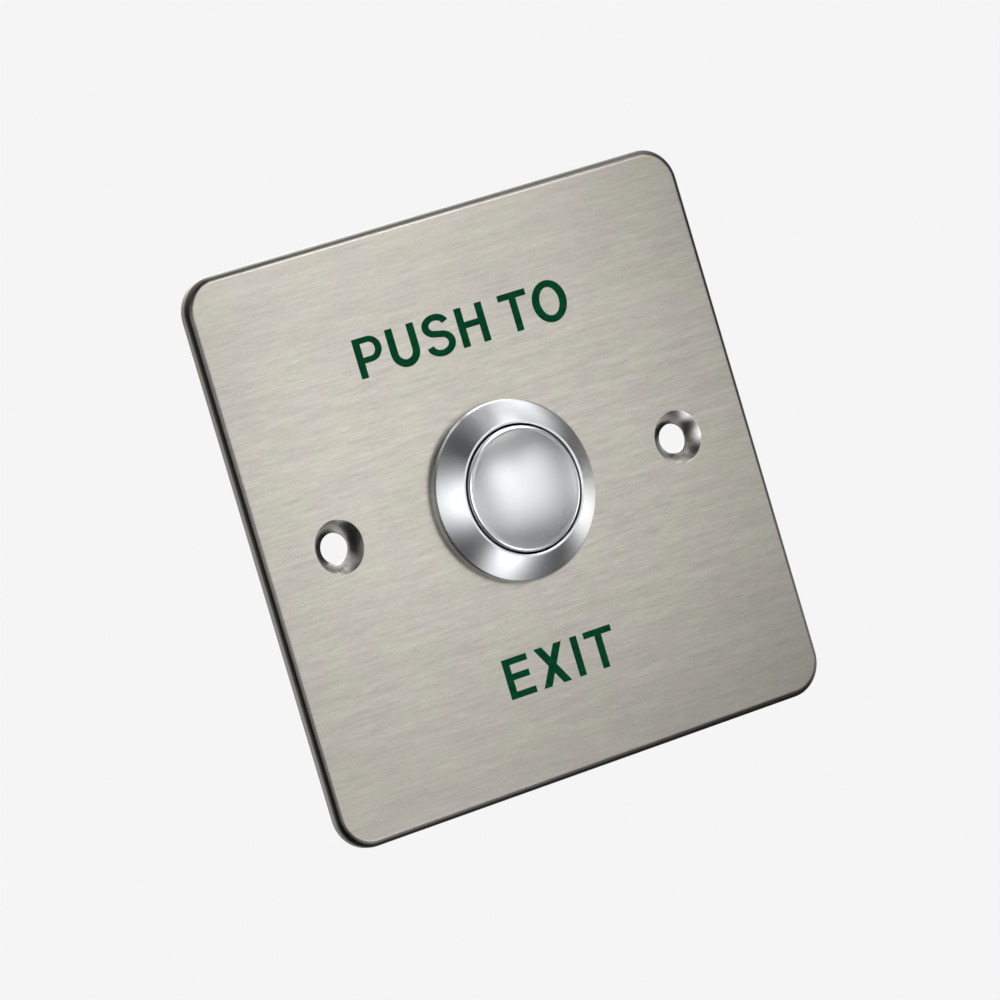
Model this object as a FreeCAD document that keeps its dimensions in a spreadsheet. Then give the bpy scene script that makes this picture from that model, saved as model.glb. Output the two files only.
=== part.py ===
import FreeCAD, Part
import Sketcher
import math
import os
import re

# Door exit button: a square steel wall plate with a domed metal push button in
# its middle. Millimetres. The plate's back lies in the plane y = 0 against the
# wall, its front faces -Y, +Z is up, and the origin is the centre of its back.

doc = FreeCAD.newDocument("door_exit_button")

# Each size that can be set by itself. The words after a value say what it is.
SIZES = [
    # face plate
    ("plate_width", 86, "plate, left to right"),
    ("plate_height", 86, "plate, bottom to top"),
    ("plate_thickness", 2, "sheet thickness"),
    ("plate_corner", 5.5, "radius of the four corners"),
    ("plate_edge", 1.1, "rounding of the front edge"),
    ("fixing_spacing", 60, "between the two fixing holes"),
    ("fixing_hole", 4.5, "diameter of a fixing hole"),
    ("fixing_land", 0.25, "straight part of it behind the countersink"),
    # turned housing of the button
    ("barrel_diameter", 22, "threaded barrel"),
    ("barrel_length", 20, "barrel, from the flange's seat to its end"),
    ("barrel_break", 0.5, "chamfer at the barrel's end"),
    ("barrel_clearance", 0.15, "radial, barrel in plate and washer"),
    ("flange_width", 2.6, "flange past the barrel"),
    ("flange_height", 1.4, "straight wall of the flange"),
    ("flange_break", 0.25, "chamfer on top of that wall"),
    ("bezel_rise", 2.5, "height of the bezel's cone"),
    ("lip_width", 0.4, "flat lip inside the cone"),
    ("well_wall", 1.3, "barrel's wall round the cap's well"),
    ("web_thickness", 2.5, "web that guides the plunger"),
    ("insert_wall", 1.5, "barrel's wall round the switch insert"),
    ("cover_shoulder", 0.9, "shoulder that the cover is seated on"),
    # flat seal under the flange
    ("gasket_margin", 0.5, "metal on either side of its groove"),
    ("gasket_thickness", 0.9, "depth of groove and seal"),
    ("groove_clearance", 0.05, "seals in their grooves"),
    # lock washer and nut behind the plate
    ("washer_width", 3, "lock washer past the barrel"),
    ("washer_thickness", 0.8, "lock washer"),
    ("washer_notch", 1.6, "depth of the notches between its teeth"),
    ("notch_width", 2.2, "width of a notch"),
    ("nut_wall", 2, "nut at its flats, past the barrel"),
    ("nut_thickness", 4, "nut"),
    ("nut_face", 0.4, "how far its round face stays inside the flats"),
    ("nut_break", 0.4, "chamfer in its bore"),
    ("thread_clearance", 0.05, "radial, nut on barrel"),
    # domed cap
    ("cap_clearance", 0.3, "radial, cap in its well"),
    ("cap_recess", 0.05, "cap's rim below the lip"),
    ("cap_chamfer", 0.45, "chamfer round the dome"),
    ("dome_rise", 1.05, "dome above that chamfer"),
    ("cap_top", 1.2, "metal under the dome's rim"),
    ("skirt_length", 6.45, "cap's straight side"),
    ("skirt_wall", 1.7, "wall of that side"),
    ("seal_section", 1, "thickness of the sealing ring"),
    ("seal_setback", 1.6, "sealing ring from the skirt's end"),
    ("seal_clearance", 0.1, "radial, sealing ring in the well"),
    ("press_travel", 2.5, "how far the button goes in"),
    ("stop_clearance", 0.3, "room left past that travel"),
    # plunger and its clip
    ("disc_thickness", 1.6, "plunger's head inside the cap"),
    ("disc_clearance", 0.05, "radial, head in cap"),
    ("stem_diameter", 6, "plunger in the web"),
    ("stem_clearance", 0.05, "radial, plunger in web"),
    ("clip_gap", 0.1, "clip behind the web"),
    ("clip_thickness", 0.7, "retaining clip"),
    ("clip_rim", 1.6, "clip past the stem"),
    ("clip_groove", 0.6, "depth of its groove"),
    ("clip_mouth", 3.6, "opening of the clip"),
    ("clip_land", 1.2, "stem behind the clip"),
    ("neck_diameter", 3.8, "plunger in the contact chamber"),
    ("tip_diameter", 2.4, "pin through the bridge"),
    ("tip_length", 1.2, "pin behind the bridge"),
    # springs
    ("return_clearance", 1.1, "radial, return spring on the stem"),
    ("return_wire", 0.8, "its wire"),
    ("return_turns", 4, "its turns"),
    ("contact_clearance", 0.35, "radial, contact spring on the pin"),
    ("contact_wire", 0.4, "its wire"),
    ("contact_turns", 6, "its turns"),
    # insulating cover and base
    ("cover_thickness", 1.2, "cover of the contact chamber"),
    ("cover_clearance", 0.3, "radial, plunger in the cover"),
    ("insert_clearance", 0.1, "radial, insert in the barrel"),
    ("base_setback", 0.1, "radial, base inside the barrel's outside"),
    ("base_floor", 3.8, "base behind the contact spring's seat"),
    ("bay_depth", 3.8, "walls between the terminals"),
    ("chamber_wall", 0.7, "base outside the outer strips"),
    ("boss_clearance", 0.4, "radial, bridge in the contact chamber"),
    ("slot_clearance", 0.1, "terminal strips in their slots"),
    # contacts
    ("bridge_thickness", 0.6, "moving contact strip"),
    ("bridge_inset", 0.1, "its arms inside the fixed strips' width"),
    ("boss_margin", 0.25, "its round middle past the contact spring"),
    ("contact_setback", 3.2, "contacts inside the outer strips"),
    ("contact_margin", 0.5, "strip past a contact's head"),
    ("contact_head", 0.4, "height of a contact's head"),
    ("head_diameter", 2.4, "contact's head"),
    ("shank_diameter", 1.4, "contact's shank"),
    ("touch_clearance", 0.05, "closed contacts"),
    ("hole_clearance", 0.05, "radial, pins and screws in their holes"),
    # terminals
    ("strip_width", 3, "terminal strip"),
    ("strip_thickness", 0.7, "terminal strip"),
    ("pocket_depth", 1.6, "seat of the contact spring below the chamber"),
    ("seat_margin", 0.15, "common strip past the contact spring"),
    ("pad_margin", 0.1, "strip past the screw's head at its sides"),
    ("pad_lip", 0.4, "strip past the screw's head at its end"),
    ("screw_setback", 5, "outer screws inside the base's outside"),
    ("screw_drop", 2.6, "outer screws below the middle"),
    ("common_gap", 0.8, "common screw's head above its strip's tail"),
    # terminal screws and their clamps
    ("screw_diameter", 2.6, "terminal screw"),
    ("screw_length", 5.5, "its shank"),
    ("head_rim", 1, "its head past the shank"),
    ("head_height", 1.9, "its head"),
    ("head_break", 0.35, "chamfers of head and tip"),
    ("slot_width", 0.7, "each arm of its cross slot"),
    ("slot_margin", 0.7, "metal at the ends of its cross slot"),
    ("slot_depth", 1.1, "cross slot"),
    ("clamp_inset", 0.1, "square wire clamp inside the screw's head"),
    ("clamp_thickness", 0.8, "wire clamp"),
]

# Sizes that follow from others, first in the turned housing and the pieces that
# fit it, then in the plunger and its springs, then in contacts and terminals.
FITS = [
    ("fixing_mouth", "fixing_hole + 2 * (plate_thickness - fixing_land)"),
    ("flange_diameter", "barrel_diameter + 2 * flange_width"),
    ("cap_bore", "barrel_diameter - 2 * well_wall"),
    ("lip_diameter", "cap_bore + 2 * lip_width"),
    ("insert_bore", "barrel_diameter - 2 * insert_wall"),
    ("clip_chamber", "insert_bore - 2 * cover_shoulder"),
    ("gasket_inner", "barrel_diameter + 2 * gasket_margin"),
    ("gasket_outer", "flange_diameter - 2 * gasket_margin"),
    ("washer_diameter", "barrel_diameter + 2 * washer_width"),
    ("nut_flats", "barrel_diameter + 2 * nut_wall"),
    ("cap_diameter", "cap_bore - 2 * cap_clearance"),
    ("base_diameter", "barrel_diameter - 2 * base_setback"),
    ("clip_diameter", "stem_diameter + 2 * clip_rim"),
    ("return_diameter", "stem_diameter + return_wire + 2 * return_clearance"),
    ("contact_diameter", "tip_diameter + contact_wire + 2 * contact_clearance"),
    ("bridge_boss", "contact_diameter + contact_wire + 2 * boss_margin"),
    ("chamber_bore", "bridge_boss + 2 * boss_clearance"),
    ("bridge_width", "strip_width - 2 * bridge_inset"),
    ("terminal_reach", "insert_bore / 2 - insert_clearance - chamber_wall - slot_clearance"),
    ("contact_offset", "terminal_reach - contact_setback"),
    ("contact_land", "head_diameter / 2 + contact_margin"),
    ("seat_width", "contact_diameter + contact_wire + 2 * seat_margin"),
    ("tail_setback", "seat_width / 2"),
    ("screw_head", "screw_diameter + 2 * head_rim"),
    ("slot_length", "screw_head - 2 * slot_margin"),
    ("clamp_width", "screw_head - 2 * clamp_inset"),
    ("pad_width", "screw_head + 2 * pad_margin"),
    ("pad_end", "screw_head / 2 + pad_lip"),
    ("screw_offset", "base_diameter / 2 - screw_setback"),
    ("common_rise", "tail_setback + common_gap + screw_head / 2"),
]

# Places along Y, worked out from the sizes, from the dome back to the screws.
PLACES = [
    ("plate_front", "-plate_thickness"),
    ("flange_front", "plate_front - flange_height"),
    ("lip_front", "flange_front - bezel_rise"),
    ("cap_rim", "lip_front + cap_recess"),
    ("cap_shoulder", "cap_rim - cap_chamfer"),
    ("cap_apex", "cap_shoulder - dome_rise"),
    ("cap_floor", "cap_shoulder + cap_top"),
    ("skirt_end", "cap_rim + skirt_length"),
    ("seal_middle", "skirt_end - seal_setback"),
    ("disc_back", "cap_floor + disc_thickness"),
    ("well_floor", "skirt_end + press_travel + stop_clearance"),
    ("web_back", "well_floor + web_thickness"),
    ("clip_front", "web_back + clip_gap"),
    ("clip_back", "clip_front + clip_thickness"),
    ("stem_end", "clip_back + clip_land"),
    ("cover_front", "clip_back + press_travel + stop_clearance"),
    ("cover_back", "cover_front + cover_thickness"),
    ("closed_face", "cover_back + strip_thickness"),
    ("bridge_front", "closed_face + contact_head * 2 + touch_clearance"),
    ("bridge_back", "bridge_front + bridge_thickness"),
    ("tip_end", "bridge_back + tip_length"),
    ("open_face", "bridge_back + contact_head * 2 + press_travel + touch_clearance"),
    ("chamber_floor", "open_face + strip_thickness"),
    ("seat_front", "chamber_floor + pocket_depth"),
    ("seat_back", "seat_front + strip_thickness"),
    ("barrel_end", "plate_front + barrel_length"),
    ("base_back", "seat_back + base_floor"),
    ("pad_back", "base_back + strip_thickness"),
    ("clamp_back", "pad_back + clamp_thickness"),
    ("bay_rim", "base_back + bay_depth"),
    ("screw_tip", "clamp_back - screw_length"),
    ("screw_top", "clamp_back + head_height"),
]

ALIASES = {name: "Sizes" for name, value, note in SIZES}
ALIASES.update({name: "Fits" for name, formula in FITS})
ALIASES.update({name: "Places" for name, formula in PLACES})


def full(formula):
    """The formula with the sheet's name before each size and place."""
    def with_sheet(match):
        word = match.group()
        return ALIASES[word] + "." + word if word in ALIASES else word
    return re.sub(r"[a-z]+_[a-z_]+", with_sheet, formula)


sizes = doc.addObject("Spreadsheet::Sheet", "Sizes")
for row, (name, value, note) in enumerate(SIZES, start=1):
    sizes.set("A%d" % row, name)
    sizes.set("B%d" % row, str(value))
    sizes.set("C%d" % row, note)
    sizes.setAlias("B%d" % row, name)
doc.recompute()


def formula_sheet(title, rows):
    """A sheet whose cells are worked out from the sheets before it and its own."""
    sheet = doc.addObject("Spreadsheet::Sheet", title)
    for row, (name, formula) in enumerate(rows, start=1):
        sheet.setAlias("B%d" % row, name)
    for row, (name, formula) in enumerate(rows, start=1):
        sheet.set("A%d" % row, name)
        sheet.set("B%d" % row, "=" + full(formula).replace(title + ".", ""))
    doc.recompute()


formula_sheet("Fits", FITS)
formula_sheet("Places", PLACES)

nodes = []


def value_of(formula):
    """The number that a formula gives with the sheet as it stands."""
    return float(sizes.evalExpression(full(formula)))


def bind(thing, formulas):
    """Ties each property of a feature to its formula."""
    for name, formula in formulas.items():
        thing.setExpression(name, full(formula))


def as_node(thing, name):
    """Gives a finished sub-part its name and adds it to those that are written."""
    thing.Label = name
    nodes.append(thing)
    return thing


def origin_plane(body, role):
    """One of a body's own three planes."""
    return next(plane for plane in body.Origin.OriginFeatures if plane.Role == role)


def sketch_on(body, role, name):
    """An empty sketch on one of the body's planes."""
    sketch = body.newObject("Sketcher::SketchObject", name)
    sketch.AttachmentSupport = [(origin_plane(body, role), "")]
    sketch.MapMode = "FlatFace"
    return sketch


def pin_point(sketch, edge, end, across, up):
    """Holds one end of an edge at two formulas from the sketch's origin."""
    for kind, formula in (("DistanceX", across), ("DistanceY", up)):
        held = Sketcher.Constraint(kind, -1, 1, edge, end, value_of(formula))
        number = sketch.addConstraint(held)
        sketch.setExpression("Constraints[%d]" % number, full(formula))


def closed_outline(sketch, corners, domed_edge=None):
    """
    Straight edges from corner to corner, each corner held at its two formulas.
    The edge numbered domed_edge is an arc with its centre on the sketch's
    upright axis.
    """
    points = [FreeCAD.Vector(value_of(x), value_of(y), 0) for x, y in corners]
    count = len(points)
    for edge in range(count):
        start, end = points[edge], points[(edge + 1) % count]
        if edge == domed_edge:
            rise, reach = end.y - start.y, end.x
            centre = start.y + (rise ** 2 + reach ** 2) / (2 * rise)
            radius = abs(centre - start.y)
            middle_angle = math.asin(reach / radius) / 2
            middle = FreeCAD.Vector(
                radius * math.sin(middle_angle),
                centre - math.copysign(radius, rise) * math.cos(middle_angle),
                0,
            )
            arc = Part.Arc(start, middle, end)
            sketch.addGeometry(arc, False)
            axis_point = (edge, 3, -2)
            sketch.addConstraint(Sketcher.Constraint("PointOnObject", *axis_point))
        else:
            sketch.addGeometry(Part.LineSegment(start, end), False)
    for edge, point in enumerate(points):
        before = (edge - 1) % count
        ends = (before, end_at(sketch, before, point), edge, end_at(sketch, edge, point))
        sketch.addConstraint(Sketcher.Constraint("Coincident", *ends))
    for edge, (across, up) in enumerate(corners):
        pin_point(sketch, edge, end_at(sketch, edge, points[edge]), across, up)


def end_at(sketch, edge, point):
    """Which end of an edge, 1 or 2, lies at a point."""
    return min((1, 2), key=lambda end: (sketch.getPoint(edge, end) - point).Length)


def turned(name, outline, domed_edge=None, axis_at=None):
    """
    A turned piece: the outline of (radius, y) formulas swept round the Y axis,
    or round a line parallel to it at the (x, z) formulas of axis_at.
    """
    body = doc.addObject("PartDesign::Body", name)
    sketch = sketch_on(body, "XY_Plane", name + "_section")
    closed_outline(sketch, outline, domed_edge)
    sweep = body.newObject("PartDesign::Revolution", name + "_turned")
    sweep.Profile = sketch
    sweep.ReferenceAxis = (sketch, ["V_Axis"])
    sweep.Angle = 360
    sketch.Visibility = False
    if axis_at:
        bind(body, {"Placement.Base.x": axis_at[0], "Placement.Base.z": axis_at[1]})
    return body


def block(name, across, along, up):
    """A block between a low and a high formula in X, in Y and in Z."""
    shape = doc.addObject("Part::Box", name)
    spans = (("x", "Length", across), ("y", "Width", along), ("z", "Height", up))
    for letter, length, (low, high) in spans:
        bind(shape, {length: "(%s) - (%s)" % (high, low), "Placement.Base." + letter: low})
    return shape


def rod(name, radius, along, axis_at=("0", "0")):
    """A cylinder parallel to Y between two formulas."""
    shape = doc.addObject("Part::Cylinder", name)
    shape.Placement = FreeCAD.Placement(FreeCAD.Vector(), along_y())
    bind(shape, {
        "Radius": radius,
        "Height": "(%s) - (%s)" % (along[1], along[0]),
        "Placement.Base.x": axis_at[0],
        "Placement.Base.y": along[0],
        "Placement.Base.z": axis_at[1],
    })
    return shape


def along_y():
    """The turn that lays the +Z axis along +Y."""
    return FreeCAD.Rotation(FreeCAD.Vector(1, 0, 0), -90)


def joined(name, shapes):
    """Several shapes made one."""
    fused = doc.addObject("Part::MultiFuse", name)
    fused.Shapes = shapes
    fused.Refine = True
    return fused


def cut(name, stock, tools):
    """Stock with every tool taken out of it."""
    tool = joined(name + "_cuts", tools) if len(tools) > 1 else tools[0]
    result = doc.addObject("Part::Cut", name)
    result.Base = stock
    result.Tool = tool
    return result


def wire_section(name, wire, offset):
    """A round wire's section beside the helix's axis, as four quarter arcs."""
    sketch = doc.addObject("Sketcher::SketchObject", name)
    upright = FreeCAD.Rotation(FreeCAD.Vector(1, 0, 0), 90)
    sketch.Placement = FreeCAD.Placement(FreeCAD.Vector(), upright)
    centre = FreeCAD.Vector(value_of(offset), 0, 0)
    circle = Part.Circle(centre, FreeCAD.Vector(0, 0, 1), value_of(wire) / 2)
    quarter = math.pi / 2
    for number in range(4):
        arc = Part.ArcOfCircle(circle, number * quarter, (number + 1) * quarter)
        sketch.addGeometry(arc, False)
    held = [("Coincident", number, 2, (number + 1) % 4, 1) for number in range(4)]
    held += [("Coincident", 0, 3, number, 3) for number in (1, 2)]
    held += [("Horizontal", 0, 1, 0, 3), ("Vertical", 1, 1, 1, 3)]
    held += [("Horizontal", 2, 1, 2, 3), ("Vertical", 2, 2, 2, 3), ("Equal", 0, 3)]
    for constraint in held:
        sketch.addConstraint(Sketcher.Constraint(*constraint))
    pin_point(sketch, 0, 3, offset, "0")
    radius = sketch.addConstraint(Sketcher.Constraint("Radius", 0, value_of(wire) / 2))
    sketch.setExpression("Constraints[%d]" % radius, full("%s / 2" % wire))
    return sketch


def coil_spring(name, diameter, wire, turns, front, back):
    """
    A round wire carried along a helix between two flat seats. The middle of
    the wire starts and ends half a wire inside them.
    """
    reach = "%s - (%s) - %s" % (back, front, wire)
    path = doc.addObject("Part::Helix", name + "_path")
    bind(path, {
        "Radius": "%s / 2" % diameter,
        "Pitch": "(%s) / %s" % (reach, turns),
        "Height": reach,
    })
    coil = doc.addObject("Part::Sweep", name)
    coil.Sections = [wire_section(name + "_wire", wire, "%s / 2" % diameter)]
    coil.Spine = (path, [])
    coil.Solid = True
    coil.Frenet = True
    coil.Placement = FreeCAD.Placement(FreeCAD.Vector(), along_y())
    bind(coil, {"Placement.Base.y": "%s + %s / 2" % (front, wire)})
    return as_node(coil, name)


def edges_where(feature, test):
    """The names of a feature's edges whose every point passes the test."""
    found = []
    for number, edge in enumerate(feature.Shape.Edges, start=1):
        if all(test(point) for point in edge.discretize(5)):
            found.append("Edge%d" % number)
    return found


def near(first, second):
    """Whether two lengths are the same."""
    return abs(first - second) < 1e-4


# Face plate: one square of brushed steel sheet with rounded corners and a
# rounded front edge, a hole for the barrel and two countersunk fixing holes.
plate = doc.addObject("PartDesign::Body", "face_plate")
plate_sketch = sketch_on(plate, "XZ_Plane", "face_plate_outline")
closed_outline(plate_sketch, [
    ("-plate_width / 2", "-plate_height / 2"),
    ("plate_width / 2", "-plate_height / 2"),
    ("plate_width / 2", "plate_height / 2"),
    ("-plate_width / 2", "plate_height / 2"),
])
plate_pad = plate.newObject("PartDesign::Pad", "face_plate_sheet")
plate_pad.Profile = plate_sketch
bind(plate_pad, {"Length": "plate_thickness"})
doc.recompute()

half_width = value_of("plate_width / 2")
half_height = value_of("plate_height / 2")
front = value_of("plate_front")


def on_corner(point):
    """On one of the four short edges at the plate's corners."""
    return near(abs(point.x), half_width) and near(abs(point.z), half_height)


corner_round = plate.newObject("PartDesign::Fillet", "face_plate_corners")
corner_round.Base = (plate_pad, edges_where(plate_pad, on_corner))
bind(corner_round, {"Radius": "plate_corner"})
doc.recompute()

front_round = plate.newObject("PartDesign::Fillet", "face_plate_front_edge")
front_round.Base = (corner_round, edges_where(corner_round, lambda point: near(point.y, front)))
bind(front_round, {"Radius": "plate_edge"})
doc.recompute()

hole_sketch = sketch_on(plate, "XZ_Plane", "face_plate_holes")
hole_circles = (
    ("0", "barrel_diameter / 2 + barrel_clearance"),
    ("-fixing_spacing / 2", "fixing_hole / 2"),
    ("fixing_spacing / 2", "fixing_hole / 2"),
)
for number, (across, radius) in enumerate(hole_circles):
    centre = FreeCAD.Vector(value_of(across), 0, 0)
    hole_sketch.addGeometry(Part.Circle(centre, FreeCAD.Vector(0, 0, 1), value_of(radius)), False)
    pin_point(hole_sketch, number, 3, across, "0")
    ring = hole_sketch.addConstraint(Sketcher.Constraint("Radius", number, value_of(radius)))
    hole_sketch.setExpression("Constraints[%d]" % ring, full(radius))
holes = plate.newObject("PartDesign::Pocket", "face_plate_drilled")
holes.Profile = hole_sketch
holes.Type = "ThroughAll"
holes.Reversed = True
doc.recompute()

hole_radius = value_of("fixing_hole / 2")
hole_place = value_of("fixing_spacing / 2")


def on_fixing_mouth(point):
    """On the front rim of a fixing hole."""
    return near(point.y, front) and near(math.hypot(abs(point.x) - hole_place, point.z), hole_radius)


countersinks = plate.newObject("PartDesign::Chamfer", "face_plate_countersinks")
countersinks.Base = (holes, edges_where(holes, on_fixing_mouth))
bind(countersinks, {"Size": "(fixing_mouth - fixing_hole) / 2"})
as_node(plate, "face_plate")

# Housing: one turning with a flange and conical bezel on the plate, a threaded
# barrel through it, a well for the cap, a web that guides the plunger and a
# bore for the switch insert. Its fine thread is left plain here.
housing = turned("bezel_housing", [
    ("cap_bore / 2", "lip_front"),
    ("lip_diameter / 2", "lip_front"),
    ("flange_diameter / 2 - flange_break", "flange_front"),
    ("flange_diameter / 2", "flange_front + flange_break"),
    ("flange_diameter / 2", "plate_front"),
    ("gasket_outer / 2", "plate_front"),
    ("gasket_outer / 2", "plate_front - gasket_thickness"),
    ("gasket_inner / 2", "plate_front - gasket_thickness"),
    ("gasket_inner / 2", "plate_front"),
    ("barrel_diameter / 2", "plate_front"),
    ("barrel_diameter / 2", "barrel_end - barrel_break"),
    ("barrel_diameter / 2 - barrel_break", "barrel_end"),
    ("insert_bore / 2", "barrel_end"),
    ("insert_bore / 2", "cover_front"),
    ("clip_chamber / 2", "cover_front"),
    ("clip_chamber / 2", "web_back"),
    ("stem_diameter / 2 + stem_clearance", "web_back"),
    ("stem_diameter / 2 + stem_clearance", "well_floor"),
    ("cap_bore / 2", "well_floor"),
])
as_node(housing, "bezel_housing")

# Flange gasket: a flat rubber ring in the groove under the flange.
gasket = turned("flange_gasket", [
    ("gasket_inner / 2 + groove_clearance", "plate_front - gasket_thickness"),
    ("gasket_outer / 2 - groove_clearance", "plate_front - gasket_thickness"),
    ("gasket_outer / 2 - groove_clearance", "plate_front"),
    ("gasket_inner / 2 + groove_clearance", "plate_front"),
])
as_node(gasket, "flange_gasket")

# Lock washer: a stamped steel ring behind the plate with inner teeth, left
# between notches that are punched into its bore.
NOTCHES = 12
washer_bore = "barrel_diameter / 2 + barrel_clearance"
washer = turned("lock_washer", [
    (washer_bore, "0"),
    ("washer_diameter / 2", "0"),
    ("washer_diameter / 2", "washer_thickness"),
    (washer_bore, "washer_thickness"),
])
notch_sketch = sketch_on(washer, "XZ_Plane", "lock_washer_notch")
closed_outline(notch_sketch, [
    (washer_bore + " - washer_notch", "-notch_width / 2"),
    (washer_bore + " + washer_notch", "-notch_width / 2"),
    (washer_bore + " + washer_notch", "notch_width / 2"),
    (washer_bore + " - washer_notch", "notch_width / 2"),
])
doc.recompute()
notch = washer.newObject("PartDesign::Pocket", "lock_washer_first_notch")
notch.Profile = notch_sketch
notch.Type = "ThroughAll"
doc.recompute()
notches = washer.newObject("PartDesign::PolarPattern", "lock_washer_notches")
notches.Originals = [notch]
notches.Axis = (notch_sketch, ["N_Axis"])
notches.Angle = 360
notches.Occurrences = NOTCHES
washer.Tip = notches
as_node(washer, "lock_washer")

# Lock nut: a thin hexagon nut on the barrel, with both faces chamfered.
nut_bore = "barrel_diameter / 2 + thread_clearance"
nut_front = "washer_thickness"
nut_back = "washer_thickness + nut_thickness"
face_radius = "nut_flats / 2 - nut_face"
corner_radius = "nut_flats / 2 / cos(30)"
blank_radius = corner_radius + " + nut_face"
bevel = "(%s - (%s)) * tan(30)" % (blank_radius, face_radius)
nut_blank = turned("lock_nut_blank", [
    (nut_bore + " + nut_break", nut_front),
    (face_radius, nut_front),
    (blank_radius, "%s + %s" % (nut_front, bevel)),
    (blank_radius, "%s - %s" % (nut_back, bevel)),
    (face_radius, nut_back),
    (nut_bore + " + nut_break", nut_back),
    (nut_bore, nut_back + " - nut_break"),
    (nut_bore, nut_front + " + nut_break"),
])
hexagon = doc.addObject("Part::Prism", "lock_nut_hexagon")
hexagon.Polygon = 6
hexagon.Placement = FreeCAD.Placement(FreeCAD.Vector(), along_y())
bind(hexagon, {
    "Circumradius": corner_radius,
    "Height": "nut_thickness",
    "Placement.Base.y": nut_front,
})
nut = doc.addObject("Part::Common", "lock_nut")
nut.Base = nut_blank
nut.Tool = hexagon
as_node(nut, "lock_nut")

# Push cap: a turned steel cup with a shallow dome, a chamfered rim, and a
# groove for the sealing ring near the end of its skirt.
cap_radius = "cap_diameter / 2"
skirt_bore = "cap_diameter / 2 - skirt_wall"
seal_ring = "cap_bore / 2 - seal_clearance - seal_section / 2"
groove_floor = seal_ring + " - seal_section / 2 - groove_clearance"
groove_front = "seal_middle - seal_section / 2 - groove_clearance"
groove_back = "seal_middle + seal_section / 2 + groove_clearance"
cap = turned("push_cap", [
    ("0", "cap_apex"),
    (cap_radius + " - cap_chamfer", "cap_shoulder"),
    (cap_radius, "cap_rim"),
    (cap_radius, groove_front),
    (groove_floor, groove_front),
    (groove_floor, groove_back),
    (cap_radius, groove_back),
    (cap_radius, "skirt_end"),
    (skirt_bore, "skirt_end"),
    (skirt_bore, "cap_floor"),
    ("0", "cap_floor"),
], domed_edge=0)
as_node(cap, "push_cap")

# Cap seal: a rubber ring of round section in the cap's groove.
seal = doc.addObject("Part::Torus", "cap_seal")
seal.Placement = FreeCAD.Placement(FreeCAD.Vector(), along_y())
bind(seal, {
    "Radius1": seal_ring,
    "Radius2": "seal_section / 2",
    "Placement.Base.y": "seal_middle",
})
as_node(seal, "cap_seal")

# Plunger: one acetal turning with a head that fills the cap, a stem that runs
# in the web, a groove for the clip, a neck and a pin that carries the bridge.
groove_radius = "stem_diameter / 2 - clip_groove"
plunger = turned("plunger", [
    ("0", "cap_floor"),
    (skirt_bore + " - disc_clearance", "cap_floor"),
    (skirt_bore + " - disc_clearance", "disc_back"),
    ("stem_diameter / 2", "disc_back"),
    ("stem_diameter / 2", "clip_front - groove_clearance"),
    (groove_radius, "clip_front - groove_clearance"),
    (groove_radius, "clip_back + groove_clearance"),
    ("stem_diameter / 2", "clip_back + groove_clearance"),
    ("stem_diameter / 2", "stem_end"),
    ("neck_diameter / 2", "stem_end"),
    ("neck_diameter / 2", "bridge_front"),
    ("tip_diameter / 2", "bridge_front"),
    ("tip_diameter / 2", "tip_end"),
    ("0", "tip_end"),
])
as_node(plunger, "plunger")

# Plunger clip: a sprung steel ring with one side open, snapped into the stem's
# groove, which stops the button against the back of the web.
clip_ring = turned("plunger_clip_ring", [
    (groove_radius + " + groove_clearance", "clip_front"),
    ("clip_diameter / 2", "clip_front"),
    ("clip_diameter / 2", "clip_back"),
    (groove_radius + " + groove_clearance", "clip_back"),
])
clip_mouth = block(
    "plunger_clip_mouth",
    ("-clip_mouth / 2", "clip_mouth / 2"),
    ("clip_front - clip_thickness", "clip_back + clip_thickness"),
    ("-clip_diameter", "0"),
)
as_node(cut("plunger_clip", clip_ring, [clip_mouth]), "plunger_clip")

# Springs: the return spring between the plunger's head and the web, and the
# contact spring between the bridge and the common terminal.
coil_spring("return_spring", "return_diameter", "return_wire", "return_turns",
            "disc_back", "well_floor")
coil_spring("contact_spring", "contact_diameter", "contact_wire", "contact_turns",
            "bridge_back", "seat_front")

# Contact cover: a moulded disc that closes the contact chamber, with a hole
# for the plunger, seated on the shoulder in the housing's bore.
insert_radius = "insert_bore / 2 - insert_clearance"
cover_hole = "stem_diameter / 2 + cover_clearance"
cover = turned("contact_cover", [
    (cover_hole, "cover_front"),
    (insert_radius, "cover_front"),
    (insert_radius, "cover_back"),
    (cover_hole, "cover_back"),
])
as_node(cover, "contact_cover")

# Switch base: one black moulding that fits the barrel and stands behind it. It
# has the contact chamber, slots for the strips, holes for the screws and a bay
# for each terminal, open to the outside for its wire.
strip_half = "strip_width / 2"
wide_half = "strip_width / 2 + slot_clearance"
bay_reach = "base_diameter"
tail_front = "tail_setback"
tail_back = "tail_setback + strip_thickness"
pad_left = "screw_offset - pad_width / 2"
pad_low = "-screw_drop - pad_end"
SCREWS = {
    "common": ("0", "common_rise"),
    "closed": ("screw_offset", "-screw_drop"),
    "open": ("-screw_offset", "-screw_drop"),
}
base_stock = turned("switch_base_stock", [
    ("0", "cover_back"),
    (insert_radius, "cover_back"),
    (insert_radius, "barrel_end"),
    ("base_diameter / 2", "barrel_end"),
    ("base_diameter / 2", "bay_rim"),
    ("0", "bay_rim"),
])
chamber_half = "terminal_reach + slot_clearance"
seat_half = "seat_width / 2 + slot_clearance"
pad_half = "pad_width / 2 + slot_clearance"
slot_inner = "terminal_reach - strip_thickness - slot_clearance"
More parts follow.
